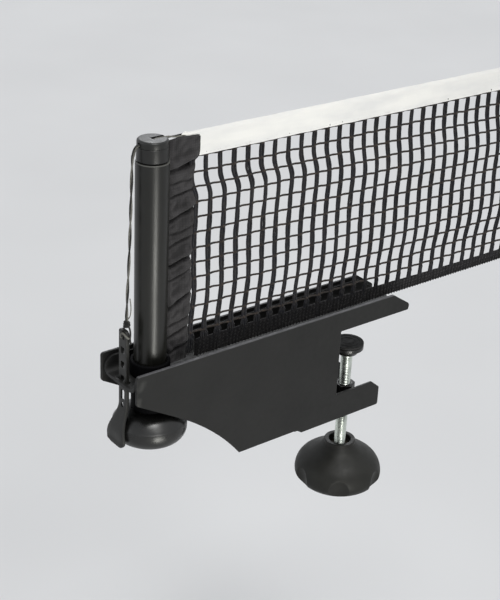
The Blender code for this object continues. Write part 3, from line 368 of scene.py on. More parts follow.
class Look:
    """A node material under construction. Its patterns are laid out in the frame's metres."""

    def __init__(self, name, colour, roughness, metallic=0.0, specular=0.5):
        self.material = bpy.data.materials.new(name)
        self.material.use_nodes = True
        self.tree = self.material.node_tree
        self.shader = self.tree.nodes["Principled BSDF"]
        self.set(Base_Color=(*colour, 1.0), Roughness=roughness, Metallic=metallic,
                 Specular_IOR_Level=specular)
        self.colour = colour
        self.frame = self.node("ShaderNodeTexCoord").outputs["Object"]
        self.height = self.node("ShaderNodeSeparateXYZ", {"Vector": self.frame}).outputs["Z"]

    def set(self, **values):
        """Values or patterns of the shader's inputs, whose names have _ for a space."""
        for name, value in values.items():
            self.put(self.shader.inputs[name.replace("_", " ")], value)

    def put(self, socket, value):
        if isinstance(value, bpy.types.NodeSocket):
            self.tree.links.new(value, socket)
        else:
            socket.default_value = value

    def node(self, kind, values=None, **settings):
        made = self.tree.nodes.new(kind)
        for name, value in settings.items():
            setattr(made, name, value)
        for name, value in (values or {}).items():
            self.put(made.inputs[name], value)
        return made

    def cloud(self, size, detail, stretch=(1, 1, 1)):
        """Noise with features of a size in mm."""
        place = self.node("ShaderNodeMapping", {"Vector": self.frame, "Scale": stretch}).outputs[0]
        return self.node("ShaderNodeTexNoise", {
            "Vector": place, "Scale": 1 / (size * MM), "Detail": detail,
        }).outputs[0]

    def cells(self, size):
        return self.node("ShaderNodeTexVoronoi", {
            "Vector": self.frame, "Scale": 1 / (size * MM),
        }).outputs["Distance"]

    def stripes(self, size, axis, twist=0.0):
        """Waves along an axis, their ridges a size in mm wide; a wave node turns by 20 a metre."""
        return self.node("ShaderNodeTexWave", {
            "Vector": self.frame, "Scale": math.pi / (20 * size * MM), "Distortion": twist,
            "Detail": 1.0,
        }, bands_direction=axis).outputs["Fac"]

    def level(self, value, start, end, low_at=0.3, high_at=0.7):
        """Runs from start to end while the value goes from low_at to high_at."""
        return self.node("ShaderNodeMapRange", {
            "Value": value, "From Min": low_at, "From Max": high_at, "To Min": start, "To Max": end,
        }).outputs[0]

    def patches(self, size, detail, start, end):
        return self.level(self.cloud(size, detail), start, end)

    def combined(self, operation, first, second):
        return self.node("ShaderNodeMath", {0: first, 1: second}, operation=operation).outputs[0]

    def sum(self, first, second):
        return self.combined("ADD", first, second)

    def times(self, first, second):
        return self.combined("MULTIPLY", first, second)

    def near(self, place, reach):
        """1 at a place in mm, falling to 0 at a reach from it."""
        gap = self.node("ShaderNodeVectorMath", {0: self.frame, 1: Vector(place) * MM},
                        operation="DISTANCE")
        return self.level(gap.outputs["Value"], 1.0, 0.0, 0.0, reach * MM)

    def above(self, start, end, least=0.0):
        """Rises to 1 between two heights in mm."""
        return self.level(self.height, least, 1.0, start * MM, end * MM)

    def mixed(self, share, first, second):
        made = self.node("ShaderNodeMix", {0: share}, data_type="RGBA")
        for socket, value in ((made.inputs[6], first), (made.inputs[7], second)):
            self.put(socket, value if isinstance(value, bpy.types.NodeSocket) else (*value, 1.0))
        return made.outputs[2]

    def shaded(self, share, dark, light):
        """Colour between dark and light times the base colour, by share."""
        return self.mixed(share, *(tuple(c * k for c in self.colour) for k in (dark, light)))

    def mottled(self, size, detail, dark, light):
        return self.shaded(self.patches(size, detail, 0.0, 1.0), dark, light)

    def bump(self, height, depth, strength):
        """Relief of a depth in mm, on top of any relief already there."""
        made = self.node("ShaderNodeBump", {
            "Height": height, "Distance": depth * MM, "Strength": strength,
        })
        if self.shader.inputs["Normal"].is_linked:
            self.put(made.inputs["Normal"], self.shader.inputs["Normal"].links[0].from_socket)
        self.put(self.shader.inputs["Normal"], made.outputs[0])
        return self


def paint_look(name, base, marks=()):
    """Matte powder coat: fine orange-peel grain, faint clouds, pale marks, and a painted highlight
    in patches along the top edge.
    """
    look = Look(name, (base, base, base * 0.97), 0.5, specular=0.21)
    colour = look.mottled(26, 3, 0.86, 1.14)
    if marks:
        smudge = 0.0
        for spot, reach in marks:
            smudge = look.sum(smudge, look.times(look.near(spot, reach), look.cloud(3.2, 3)))
        colour = look.mixed(look.level(smudge, 0.0, 0.75, 0.05, 0.7), colour, (0.062, 0.062, 0.059))
        # Painted highlight: the plate's top edge is lighter where it faces the light, broken into
        # patches.
        lit_top_edge = look.times(look.above(PLATE_TOP - 0.6, PLATE_TOP - 0.1, 0.25),
                            look.patches(6.0, 3, 0.6, 1.0))
        lit_top_edge = look.times(lit_top_edge, look.above(PLATE_TOP - 0.6, PLATE_TOP - 0.5))
        colour = look.mixed(lit_top_edge, colour, (0.110, 0.110, 0.118))
    look.set(Base_Color=colour, Roughness=look.patches(4.0, 3, 0.44, 0.58))
    return look.bump(look.cloud(0.55, 2), 0.045, 0.55).material


def satin_look():
    """Satin black of the post, with faint drawn lines along it and a painted highlight on its top
    rim.
    """
    look = Look("post_satin_black", (0.0065, 0.0065, 0.0052), 0.36, specular=0.40)
    lines = look.cloud(0.7, 3, stretch=(1, 1, 0.02))
    # Painted highlight: a lighter band along the tube's top rim, where the light catches it.
    rim = look.above(POST_TOP - 0.6, POST_TOP - 0.3)
    look.set(Base_Color=look.mixed(rim, look.mottled(18, 3, 0.85, 1.2), (0.085, 0.085, 0.078)),
             Roughness=look.level(lines, 0.29, 0.42))
    return look.bump(lines, 0.02, 0.35).material


def plastic_look(name, colour, roughness, specular, grain=0.5):
    """Moulded plastic with spark-eroded grain and handling sheen."""
    look = Look(name, colour, roughness, specular=specular)
    look.set(Base_Color=look.mottled(9, 3, 0.85, 1.2),
             Roughness=look.patches(6, 3, roughness - 0.05, roughness + 0.07))
    look.bump(look.cells(grain), 0.03, 0.45)
    return look.bump(look.cloud(5, 2), 0.04, 0.25).material


def metal_look(name, colour, roughness):
    """Plated or bare metal, with streaks, stains and turning marks."""
    look = Look(name, colour, roughness, metallic=1.0)
    stain = look.cloud(7, 4, stretch=(1, 1, 0.6))
    look.set(Base_Color=look.shaded(look.level(stain, 0.0, 1.0), 0.65, 1.1),
             Roughness=look.patches(1.6, 3, roughness - 0.08, roughness + 0.14))
    return look.bump(look.cloud(0.4, 2, stretch=(1, 1, 4)), 0.01, 0.4).material


def rubber_look():
    look = Look("soft_rubber", (0.020, 0.020, 0.020), 0.8, specular=0.25)
    look.set(Base_Color=look.mottled(3, 4, 0.8, 1.35), Roughness=look.patches(2, 2, 0.72, 0.88))
    return look.bump(look.cloud(0.5, 3), 0.05, 0.5).material


def weave(look, size, depth):
    """Relief of a plain weave of a size in mm, in the plane of the net."""
    cloth = look.times(look.stripes(size, "X", 0.6), look.stripes(size, "Z", 0.6))
    look.bump(cloth, depth, 0.8)
    return cloth


def fabric_look():
    """Matte black cloth of the net's end sleeve, with painted shade down in its creases."""
    look = Look("sleeve_cloth", (0.036, 0.0345, 0.036), 0.9, specular=0.15)
    cloth = weave(look, 0.75, 0.12)
    wear_and_crease_shade = look.sum(look.patches(14, 4, 0.0, 0.7), look.level(cloth, 0.0, 0.3, 0.0, 1.0))
    # Painted shade in the creases and a little painted light on the ridges, taken from the mesh's
    # pointiness.
    hollow = look.node("ShaderNodeNewGeometry").outputs["Pointiness"]
    wear_and_crease_shade = look.sum(wear_and_crease_shade, look.level(hollow, -0.8, 0.2, 0.47, 0.51))
    look.set(Base_Color=look.shaded(wear_and_crease_shade, 0.60, 1.35), Sheen_Weight=0.12, Sheen_Roughness=0.5)
    return look.bump(look.cloud(2.2, 3), 0.15, 0.5).material


def tape_look():
    """White cotton tape: fine weave, faint grey waves."""
    look = Look("white_cotton_tape", (0.82, 0.815, 0.80), 0.75, specular=0.2)
    weave(look, 0.62, 0.05)
    waves = look.level(look.cloud(16, 3, stretch=(0.45, 1, 1.6)), 0.0, 1.0, 0.32, 0.62)
    look.set(Base_Color=look.mixed(waves, (0.73, 0.73, 0.725), (0.83, 0.825, 0.80)))
    return look.bump(look.cloud(9, 3, stretch=(0.5, 1, 1.4)), 0.30, 0.5).material


def twine_look(name, colour, tint, twist=1.1):
    """Twisted twine: slanting plies, with tints of dust and wear."""
    look = Look(name, colour, 0.82, specular=0.22)
    dust = look.level(look.cloud(2.6, 4), 0.0, 1.0, 0.42, 0.68)
    look.set(Base_Color=look.mixed(dust, colour, tint), Sheen_Weight=0.08)
    look.bump(look.stripes(twist, "DIAGONAL", 1.5), 0.16, 0.8)
    return look.bump(look.cloud(0.45, 3), 0.10, 0.6).material


def knit_look():
    """Fuzzy knitted band along the net's foot."""
    look = Look("knitted_foot_band", (0.014, 0.013, 0.013), 0.9, specular=0.12)
    knit = look.times(look.stripes(1.5, "X", 2.5), look.stripes(1.2, "Z", 2.5))
    dust = look.level(look.sum(look.cloud(2.2, 4), look.level(knit, 0.0, 0.16, 0.0, 1.0)),
                      0.0, 1.0, 0.42, 0.76)
    look.set(Base_Color=look.mixed(dust, (0.0045, 0.0045, 0.0055), (0.017, 0.0155, 0.016)),
             Sheen_Weight=0.10)
    look.bump(knit, 0.45, 0.9)
    return look.bump(look.cloud(0.6, 4), 0.20, 0.8).material


def thread_look():
    look = Look("sewing_thread", (0.80, 0.795, 0.775), 0.7, specular=0.25)
    look.set(Base_Color=look.mottled(1.5, 2, 0.86, 1.0))
    return look.bump(look.stripes(0.3, "DIAGONAL"), 0.03, 0.8).material


# Bracket


def plate_outline(end):
    """The side plates' outline, fine steps round every corner; end shortens it at the post."""
    along = Vector((math.cos(BRACE_ANGLE), -math.sin(BRACE_ANGLE)))
    inward = Vector((-math.sin(BRACE_ANGLE), -math.cos(BRACE_ANGLE)))
    join = Vector(BRACE_START) + along * BRACE_STRAIGHT
    chord = join - Vector(PLATE_FOOT)
    radius = -chord.length_squared / (2 * inward.dot(chord))
    middle = join + inward * radius
    spoke = Vector(PLATE_FOOT) - middle
    sweep = spoke.angle_signed(join - middle)
    arc = [middle + Matrix.Rotation(-sweep * step / 30, 2) @ spoke for step in range(31)]
    x, z, radius = PLATE_CORNERS[0]
    start = Vector(BRACE_START) + along * (end / along.x)
    corners = [(x + end, z, radius)] + PLATE_CORNERS[1:] + [(x, z, 0.0) for x, z in arc]
    corners.append((start.x, start.y, 2.5))
    return filleted(corners, closed=True, step=math.radians(6))


def inset(outline, depth):
    """A closed outline moved inwards by a depth."""
    points = np.array(outline)
    after = np.roll(points, -1, 0)
    edge = after - points
    edge /= np.linalg.norm(edge, axis=1)[:, None]
    inward = np.stack([edge[:, 1], -edge[:, 0]], 1)
    if (points[:, 0] * after[:, 1] - points[:, 1] * after[:, 0]).sum() > 0:
        inward = -inward
    both = inward + np.roll(inward, 1, 0)
    both /= (both * both).sum(1)[:, None] / 2
    return points + both * depth


def side_plate(name, front, back, end):
    """Flat plate between two depths, its edges rounded over."""
    outline = plate_outline(end)
    bends = [(EDGE_ROUND * (1 - math.sin(a)), EDGE_ROUND * (1 - math.cos(a)))
             for a in map(math.radians, (0, 30, 60, 90))]
    edge = [(EDGE_ROUND + 0.25, 0.0)] + bends
    levels = [(depth, front + rise) for depth, rise in edge]
    levels += [(depth, back - rise) for depth, rise in reversed(edge)]
    rows = [[(x, y, z) for x, z in inset(outline, depth)] for depth, y in levels]
    return lofted(name, rows, sharp=60)


def bracket():
    # The back plate, saddle and jaw get a darker copy of the powder coat: painted shade for the
    # inside of the bracket.
    plain = paint_look("shade_darkened_powder_coat", 0.0105)
    marked = paint_look("front_plate_paint", 0.0118, WELD_MARKS)
    for node, name, end, look in (
        ("front_side_plate", "front_plate", FRONT_PLATE_END, marked),
        ("back_side_plate", "back_plate", 0.0, plain),
    ):
        plate = side_plate(name, low(node).y, high(node).y, end)
        place(plate, "bracket", "black_paint", look, node)
    steel = metal_look("blackened_steel", (0.05, 0.05, 0.05), 0.42)
    for node, width, slot, look in (
        ("saddle_channel", 0.35, "black_paint", plain), ("jaw_channel", 0.30, "black_paint", plain),
        ("jaw_nut", 0.22, "black_steel", steel), ("table_pad", 0.25, "rubber", RUBBER),
    ):
        place(softened(node, width), "bracket", slot, look, node)
    place(guide_collar(), "bracket", "black_plastic", SHADE_DARKENED_GUIDE_PLASTIC, "post_guide_sleeve")


def guide_collar():
    """Collar on the saddle's web that guides the post, with a lead-in at its mouth."""
    top, foot = high("post_guide_sleeve").z, low("post_guide_sleeve").z
    bore = POST_RADIUS + 0.3
    wall, rim, rim_foot = bore + 1.3, bore + 2.0, 3.8
    profile = filleted([
        (bore, foot + 5, 0), (bore, top, 0.5), (rim, top, 0.9), (rim, rim_foot, 0.5),
        (wall, rim_foot, 0.3), (wall, foot, 0.5), (bore, foot, 0.2), (bore, foot + 4.9, 0),
    ])
    return turned("guide_collar", profile[:-1], POST_X, ring=True)


# Post


def post():
    top, foot = POST_TOP, low("post_tube").z
    profile = filleted([
        (POST_BORE, foot + 5, 0), (POST_BORE, foot, 0.3), (POST_RADIUS, foot, 0.4),
        (POST_RADIUS, top, 0.4), (POST_BORE, top, 0.3), (POST_BORE, foot + 5.1, 0),
    ])
    tube = turned("post", profile[:-1], POST_X, segments=128, ring=True)
    slit = [(-1.7, 16), (1.7, 16), (1.7, top + 2), (-1.7, top + 2)]
    cut(tube, channel("slit", slit, POST_X + 4.0, POST_X + 12.0))
    place(tube, "post", "satin_black", satin_look(), "post_tube")
    place(post_cap(), "post", "black_plastic", CAP_PLASTIC, "post_cap")


def post_cap():
    """Plug in the post's top: rounded rim, a parting groove and a channel for the cord."""
    top, foot = high("post_cap").z, low("post_cap").z
    head_foot = POST_TOP + 0.9
    radius, rim, spigot = 9.15, 1.5, 8.2
    seam, side = 148.6, 9.2
    profile = filleted([
        (0.4, top, 0), (radius, top, rim), (side, seam + 0.30, 0.12), (side - 0.35, seam, 0.1),
        (side + 0.02, seam - 0.30, 0.12), (9.5, head_foot, 0.3), (spigot, head_foot, 0.1),
        (spigot, foot, 0.6), (0.4, foot, 0),
    ])
    cap = turned("post_top_cap", profile, POST_X, segments=128)
    groove = filleted([(-1.4, top - 2.5, 1.2), (1.4, top - 2.5, 1.2), (1.75, top + 1.5, 0),
                       (-1.75, top + 1.5, 0)], closed=True)
    tunnel = filleted([(-1.3, top - 4.3, 1.2), (1.3, top - 4.3, 1.2), (1.3, top - 1.2, 1.0),
                       (-1.3, top - 1.2, 1.0)], closed=True)
    return cut(cap, channel("groove", groove, POST_X - 1.0, POST_X + 12),
               channel("tunnel", tunnel, POST_X - 12, POST_X + 0.5))


# Round knob and star knob


def height_knob():
    """Smooth mushroom knob: domed crown, crisp shoulder, bellied skirt."""
    top, foot = high("height_knob").z, low("height_knob").z
    skirt_height = 13.5
    shoulder = foot + skirt_height
    radius = high("height_knob").y
    hub, crown_edge = 8.0, radius * 0.966
    bulge = (top - shoulder) / (crown_edge - hub) / 4
    start, end = Vector((hub, top)), Vector((crown_edge, shoulder))
    chord = end - start
    side = Vector((-chord.y, chord.x))
    crown = [start + chord * s + side * 4 * bulge * s * (1 - s) for s in steps(0, 0.985, 0.04)]
    skirt = [(0.974, 0.008), (0.984, 0.07), (0.993, 0.15), (0.999, 0.24), (1.0, 0.32),
             (0.996, 0.41), (0.984, 0.50), (0.962, 0.60), (0.928, 0.70), (0.880, 0.79),
             (0.815, 0.865), (0.740, 0.925), (0.650, 0.970), (0.56, 1.0)]
    belly = curve_through([(radius * r, shoulder - skirt_height * share) for r, share in skirt], 3)
    bore = [(4.3, foot + 3), (4.3, top - 14), (6.8, top - 14), (6.8, top - 0.3), (7.1, top)]
    profile = bore + crown + belly + [(9.0, foot), (0.5, foot)]
    return turned("round_knob", profile, POST_X, segments=128, sharp=24)


def scoop_limit(turn, down):
    """How far out the finger scoops let the star knob reach, a height below its top."""
    reach = SCOOP_FLOOR + SCOOP_RADIUS - SCOOP_LEAN * (down - 18.0)
    pitch = TURN / SCOOPS
    off = (turn - FIRST_SCOOP + pitch / 2) % pitch - pitch / 2
    inside = SCOOP_RADIUS ** 2 - (reach * math.sin(off)) ** 2
    return BEYOND if inside <= 0 else reach * math.cos(off) - math.sqrt(inside)


def soft_least(first, second, blend):
    """The smaller of two values, rounded over where they meet."""
    share = max(0.0, 1 - abs(first - second) / blend)
    return min(first, second) - blend * share * share / 4


def star_knob():
    """Bell-shaped knob, six finger scoops cut up its skirt."""
    top, foot = high("star_knob").z, low("star_knob").z
    bell = [(12.2, 3.7), (14.0, 5.6), (16.0, 7.2), (18.2, 8.6), (20.5, 10.0), (23.0, 11.6),
            (25.5, 13.5), (27.4, 15.4), (28.9, 17.7), (30.0, 20.3), (30.55, 22.8), (30.7, 25.0),
            (30.45, 27.0), (29.6, 28.9), (28.3, 30.5), (26.5, 32.0), (24.3, 33.3), (21.8, 34.3),
            (19.0, 35.0), (17.0, top - foot)]
    collar, mouth, bore = 11.0, 7.8, 7.2
    neck = filleted([
        (4.3, top - 20, 0), (4.3, top - 19.6, 0), (bore, top - 19.6, 0.1), (bore, top - 3.5, 0.1),
        (mouth, top - 3.5, 0.1), (mouth, top, 0.35), (collar, top, 0.6),
        (collar, top - 2.6, 0.5), (12.2, top - 3.7, 0),
    ])[:-1]
    segments, scooped_from = 432, 20
    rows = []
    for r, z in neck + curve_through([(r, top - down) for r, down in bell], 4) + [
            (12.0, foot), (0.5, foot)]:
        row = []
        for turn in turns(segments):
            reach = r if r < scooped_from else soft_least(r, scoop_limit(turn, top - z), 0.35)
            row.append(around(SCREW_X, reach, turn, z))
        rows.append(row)
    return lofted("six_lobe_knob", rows, sharp=38)


# Clamping screw and pad


def threaded_rod(name, top, foot, plain):
    """The clamping screw's rod with its cut thread, plain over (top, foot, radius) stretches."""
    pitch, depth, flank, segments = 1.25, 0.60, 1.25, 32
    tip = SCREW_RADIUS - 0.9
    rows = []
    for z in [top] + steps(top - 0.01, foot + 0.01, pitch / 7) + [foot]:
        row = []
        for turn in turns(segments):
            share = (z / pitch - turn / TURN) % 1.0
            ridge = 1 - abs(2 * share - 1)
            reach = SCREW_RADIUS - depth * (1 - min(1.0, ridge * flank))
            reach = min(reach, tip + (top - z), tip + (z - foot))
            for start, end, radius in plain:
                if end <= z <= start:
                    reach = radius
            row.append(around(SCREW_X, reach, turn, z))
        rows.append(row)
    return lofted(name, rows, sharp=70)


def clamp_screw():
    top, foot = high("clamp_rod").z, low("clamp_rod").z
    ring_top, ring_foot = high("pad_retaining_ring").z + 0.3, low("pad_retaining_ring").z - 0.3
    plain = [(top - 0.9, top - 7.5, SCREW_RADIUS), (ring_top, ring_foot, 3.4)]
    rod = threaded_rod("clamping_screw", top, foot, plain)
    place(rod, "clamp_screw", "zinc_steel", ZINC, "clamp_rod")
    place(star_knob(), "clamp_screw", "black_plastic", STAR_PLASTIC, "star_knob")
    radius = 11.0
    top, foot = high("pad_face").z, low("pad_face").z
    low_ring = top - 0.25
    face = turned("pressure_pad_face", filleted([
        (0.4, top, 0), (4.0, top, 0), (4.3, low_ring, 0.1), (4.9, low_ring, 0.1), (5.2, top, 0.1),
        (7.2, top, 0.1), (7.5, low_ring, 0.1), (8.1, low_ring, 0.1), (8.4, top, 0.1),
        (radius, top, 0.55), (radius, foot, 0.2), (0.4, foot, 0),
    ]), SCREW_X)
    place(face, "clamp_pad", "rubber", RUBBER, "pad_face")
    top, foot = high("pad_shoe").z, low("pad_shoe").z
    hub, socket, groove = 7.0, 4.6, 5.5
    shoe = turned("swivel_shoe", filleted([
        (1.0, top, 0), (radius, top, 0.6), (radius, top - 2.7, 0.5), (hub + 1.2, top - 4.4, 1.2),
        (hub, foot, 0.4), (socket, foot, 0.3), (socket, ring_foot, 0.05),
        (groove, ring_foot, 0.05), (groove, ring_top, 0.05), (socket, ring_top, 0.05),
        (socket, top - 1.3, 0.2), (1.0, top - 1.3, 0),
    ]), SCREW_X)
    place(shoe, "clamp_pad", "black_plastic", KNOB_PLASTIC, "pad_shoe")


# Net


def billow(x, z):
    """How far the net bellies out to the front at a place, in mm."""
    fall = 15 + 20 * ease((x + 40) / 120)
    swell = ease((124 - z) / fall) * (1 - 0.35 * ease((48 - z) / 22))
    swell += 0.12 * math.cos(TURN * (z - 105) / 55) - 0.40 * ease((19 - z) / 14)
    return (4.0 + 0.6 * math.cos(TURN * (x + 85) / 230)) * swell


def on_net(x, z, out=0.0):
    """The place on the hanging net of a point of its flat pattern; out is towards the front."""
    belly = billow(x, z)
    return Vector((x, -belly - out, z + 0.6 * belly))


def row_z(row, x):
    """Height of a cross cord in the flat pattern; the lowest row slants a little."""
    if row < ROWS:
        return TOP_ROW_Z - ROW_PITCH * row
    return 22.0 - 2.1 * (x - FIRST_CORD_X) / (NET_RIGHT - FIRST_CORD_X)


def hem_top(x):
    """Height of the foot band's upper edge, which falls away from the post."""
    return 16.4 - 4.2 * ease((x + 110) / 260)


def net_mesh():
    """Upright cords of two loose strands, single cross cords, and a knot at each crossing."""
    shape = Shape()
    cords = [FIRST_CORD_X + CORD_PITCH * cord for cord in range(CORDS)]
    for x in cords:
        for side in (-1, 1):
            path = []
            for z in steps(TAPE_FOOT + 2.0, HEM_FOOT + 4.0, 1.6):
                knot = abs(((TOP_ROW_Z - z) / ROW_PITCH + 0.5) % 1.0 - 0.5) * 2
                open_by = 0.74 + 0.20 * ease(knot * 1.6) + 0.16 * rough(x, side * 3, z, 9)
                phase = 0.7 * rough(x, 7, z, 30)
                wander = 0.22 * rough(x, 11, z, 14)
                path.append(on_net(x + wander + side * open_by * math.cos(phase), z,
                                   side * 0.45 * math.sin(phase)))
            shape.strand(path, UPRIGHT_RADIUS)
    for row in range(ROWS + 1):
        path = []
        for x in steps(FIRST_CORD_X, NET_RIGHT, 1.7):
            phase = TURN * (x - FIRST_CORD_X) / CORD_PITCH
            sag = 0.20 * math.sin(phase) + 0.25 * rough(x, row * 9, 3, 12)
            path.append(on_net(x, row_z(row, x) + sag, 0.25 * math.cos(phase)))
        shape.strand(path, CROSS_RADIUS, finish=1)
    for x in cords:
        for row in range(ROWS + 1):
            z = row_z(row, x) + 0.25 * rough(x, row * 9, 3, 12)
            size = 1.15 + 0.14 * rough(x, 5, z, 7)
            shape.ball(on_net(x, z, 0.2), (size * 1.12, size * 0.95, size), finish=1)
    for x in cords:
        foot_strands(shape, x)
    return shape.piece("knotted_net", sharp=80)


def foot_strands(shape, x):
    """The strands that each upright cord spreads into, from the lowest row into the band."""
    spread = 2.3 - 1.1 * ease((x + 110) / 170)
    for strand in range(4):
        side = (strand - 1.5) / 1.5
        path = []
        for z in steps(row_z(ROWS, x) + 0.4, HEM_FOOT + 5.0, 1.5):
            down = ease((row_z(ROWS, x) - z) / 3.0)
            across = side * spread * (0.45 + 0.55 * down)
            path.append(on_net(x + across, z, 0.35 + 0.15 * math.cos(strand * 2 + z)))
        shape.strand(path, 0.55, sides=5)


def foot_band():
    """Fuzzy knitted band along the net's foot, whipped along its lower half."""
    shape = Shape()
    rows = []
    for x in steps(HEM_LEFT, NET_RIGHT, 0.9):
        tall = hem_top(x) - HEM_FOOT
        end = ease((x - HEM_LEFT) / 2.5 + 0.35)
        row = []
        for turn in turns(26):
            share = 0.5 + 0.5 * math.copysign(abs(math.cos(turn)) ** 0.55, math.cos(turn))
            half = 0.95 * math.copysign(abs(math.sin(turn)) ** 0.5, math.sin(turn)) * end
            z = HEM_FOOT + tall * share
            fuzz = 0.16 * rough(x, half * 3, z, 1.8) + 0.12 * rough(x, half, z * 2, 5)
            groove = 0.28 * math.exp(-((z - HEM_FOOT - 0.45 * tall) / 0.7) ** 2)
            thick = half * (1 + fuzz) - math.copysign(min(groove, abs(half)), half)
            row.append(on_net(x, z + 0.3 * rough(x, 2, share, 3) * abs(share - 0.5), thick))
        rows.append(row)
    shape.grid(rows, closed=True, capped=True)
    for x in steps(HEM_LEFT + 1.5, NET_RIGHT - 1.2, 2.5):
        lean = 0.5 + 0.3 * rough(x, 1, 4, 6)
        tall = 3.6 + 0.8 * rough(x, 8, 4, 5)
        path = [on_net(x + lean * s, HEM_FOOT + 0.1 + tall * s, 1.08 + 0.22 * math.sin(math.pi * s))
                for s in steps(0, 1, 0.2)]
        shape.strand(path, 0.30, sides=5, finish=1)
    return shape.piece("knitted_foot_band", sharp=80)


# Tape

TAPE_TIP_X = -118.4
STITCH_LENGTH = 1.7
STITCH_PITCH = 2.6


def tape_wave(x, z, side):
    """Ripple of the tape's leaves, in mm."""
    return 0.16 * rough(x, side * 4, z, 14) + 0.10 * rough(x, side * 9, z * 1.5, 6)


def tape_foot(x):
    """Height of the leaves' lower edge: the narrow tip, then the cut end."""
    edge = between(x, [(TAPE_TIP_X, 151.2), (-116.8, 150.5), (-115.6, 150.2), (-106.5, 149.3),
                       (-105.3, 148.7), (-104.9, 141.0), (-104.6, TAPE_FOOT), (400, TAPE_FOOT)])
    return edge + 0.12 * rough(x, 0, 1, 9)


def tape_top(x):
    peak = between(x, [(TAPE_TIP_X, 151.8), (-115.7, 153.1), (-114.4, 152.7), (-112.8, 152.35),
                       (-108.0, 152.5), (400, 152.5)])
    return peak - 0.12 + 0.12 * rough(x, 3, 2, 22)


def top_tape():
    """White tape folded over the net's top cord, the leaves sewn together near their edge."""
    leaf, half = 0.34, 0.98
    leaf_steps = steps(0, 1, 0.1)
    rows = []
    tip = steps(TAPE_TIP_X, -106.4, 0.5) + steps(-106.2, -104.5, 0.12)
    for x in tip + steps(-103.6, NET_RIGHT, 1.15):
        foot = tape_foot(x)
        tall = tape_top(x) - foot
        thin = 0.45 + 0.55 * ease((x - TAPE_TIP_X) / 6)
        lean = 1.3 * ease((-98.0 - x) / 6)
        row = []
        for side, inner in ((-1, 0.0), (1, 0.0), (1, leaf), (-1, leaf)):
            rising = (side < 0) == (inner == 0.0)
            for share in leaf_steps if rising else reversed(leaf_steps):
                bend = math.sin(math.pi / 2 * min(1.0, (1 - share) * tall / 1.1 + 0.02))
                z = foot + (tall - inner) * share
                pinch = 0.26 * math.exp(-((z - foot - 1.2) / 0.9) ** 2) * (tall > 8)
                y = side * ((half - pinch) * thin * bend - inner * bend)
                flare = 0.12 * (1 - share) * rough(x, side, 5, 8)
                wave = (tape_wave(x, z, side) + flare) * (1 - share ** 4) * thin
                shift = lean * ease((150.0 - z) / 14)
                row.append((x - shift, y + wave - 0.25 * billow(x, 140) * (1 - share), z))
        rows.append(row)
    return lofted("folded_top_tape", rows, sharp=50)


def tape_stitches():
    """A row of small stitches near the tape's foot, front and back."""
    shape = Shape()
    z = TAPE_FOOT + 1.25
    share = (z - TAPE_FOOT) / (TAPE_TOP - TAPE_FOOT)
    for side in (-1, 1):
        x = -103.4
        while x < NET_RIGHT - 2.4:
            path = []
            for s in steps(0, 1, 0.25):
                across = x + STITCH_LENGTH * s
                lift = 0.72 + 0.10 * math.sin(math.pi * s)
                wave = tape_wave(across, z, side) * (1 - share ** 4)
                path.append((across, side * lift + wave - 0.23 * billow(x, 140), z))
            shape.strand(path, 0.13, sides=5)
            x += STITCH_PITCH
    return shape.piece("tape_stitches", sharp=80)


# Sleeve

# Creases of the sleeve: height at its left and right edge, depth and half width.
CREASES = [
    (129.0, 134.0, 1.7, 2.2), (121.5, 124.0, 0.4, 1.2), (113.5, 117.0, 0.7, 1.4),
    (98.0, 104.5, 1.6, 1.7), (90.5, 93.0, 0.5, 1.2), (82.0, 87.5, 0.7, 1.5),
    (69.0, 74.4, 1.5, 1.6), (60.0, 66.6, 0.6, 1.2), (42.0, 49.4, 1.5, 1.9),
    (31.0, 35.0, 0.5, 1.3), (22.0, 28.4, 0.9, 1.6), (12.5, 16.6, 0.7, 1.4),
]
SLEEVE_LEFT = [(6.0, -125.2), (14.6, -125.2), (19.5, -129.7), (128.5, -129.7), (133.0, -127.3),
               (149.5, -127.3)]


def sleeve_right(z):
    """The sleeve's right edge at a height, drawn in between the net's rows."""
    edge = between(z, [(6, -112.0), (30, -112.3), (75, -112.2), (110, -111.3), (125, -109.4),
                       (137, -106.3), (149.5, -104.4)])
    scallop = 0.55 * abs(math.sin(math.pi * (TOP_ROW_Z - z) / ROW_PITCH)) if z < 137 else 0.0
    return edge - scallop


def sleeve_fold(share, z):
    """How far the cloth stands to the front at a share of the way from the post to the net."""
    lift = 1.3 + 0.7 * rough(share * 10, 2, z, 13)
    for left, right, depth, width in CREASES:
        line = left + (right - left) * share
        gap = (z - line - 0.8 * rough(share * 12, left, 1, 5)) / (0.75 * width)
        lift -= 2.5 * depth * math.exp(-gap * gap) * (0.8 + 0.3 * rough(share * 9, line, 4, 3))
        puff = (z - line - 2.3 * width) / (1.4 * width)
        lift += 1.1 * depth * math.exp(-puff * puff)
    return lift + 0.42 * rough(share * 16, 9, z - share * 6, 3.4)


def sleeve_rise(x, z):
    """How far the sleeve's top edge is drawn up to the cord and the tape's tip."""
    rise = between(x, [(-128.0, 0.4), (-124.5, 1.5), (-118.0, 1.6), (-115.0, 1.3), (-104, 0.7)])
    return rise * ease((z - 139.0) / 10.0)


def end_sleeve():
    """Black cloth sleeve that gathers the net's end to the rod in the post."""
    rows = []
    half = 0.425
    for z in steps(6.0, 149.0, 0.65):
        left, right = between(z, SLEEVE_LEFT), sleeve_right(z)
        front, back = [], []
        for share in steps(0, 1, 0.035):
            x = left + (right - left) * share
            out = ease((x + 128.4) / 3.6)
            home = ease((x - right + 3.6) / 3.6)
            belly = billow(x, z) * ease((x + 124) / 14)
            fold = sleeve_fold(share, z) * out * (1 - 0.55 * home)
            slope = 0.6 * belly + sleeve_rise(x, z)
            front.append((x, -belly - fold - half, z + slope))
            back.append((x, -belly - fold + half, z + slope))
        rows.append(front + back[::-1])
    return lofted("gathered_end_sleeve", rows, sharp=60)


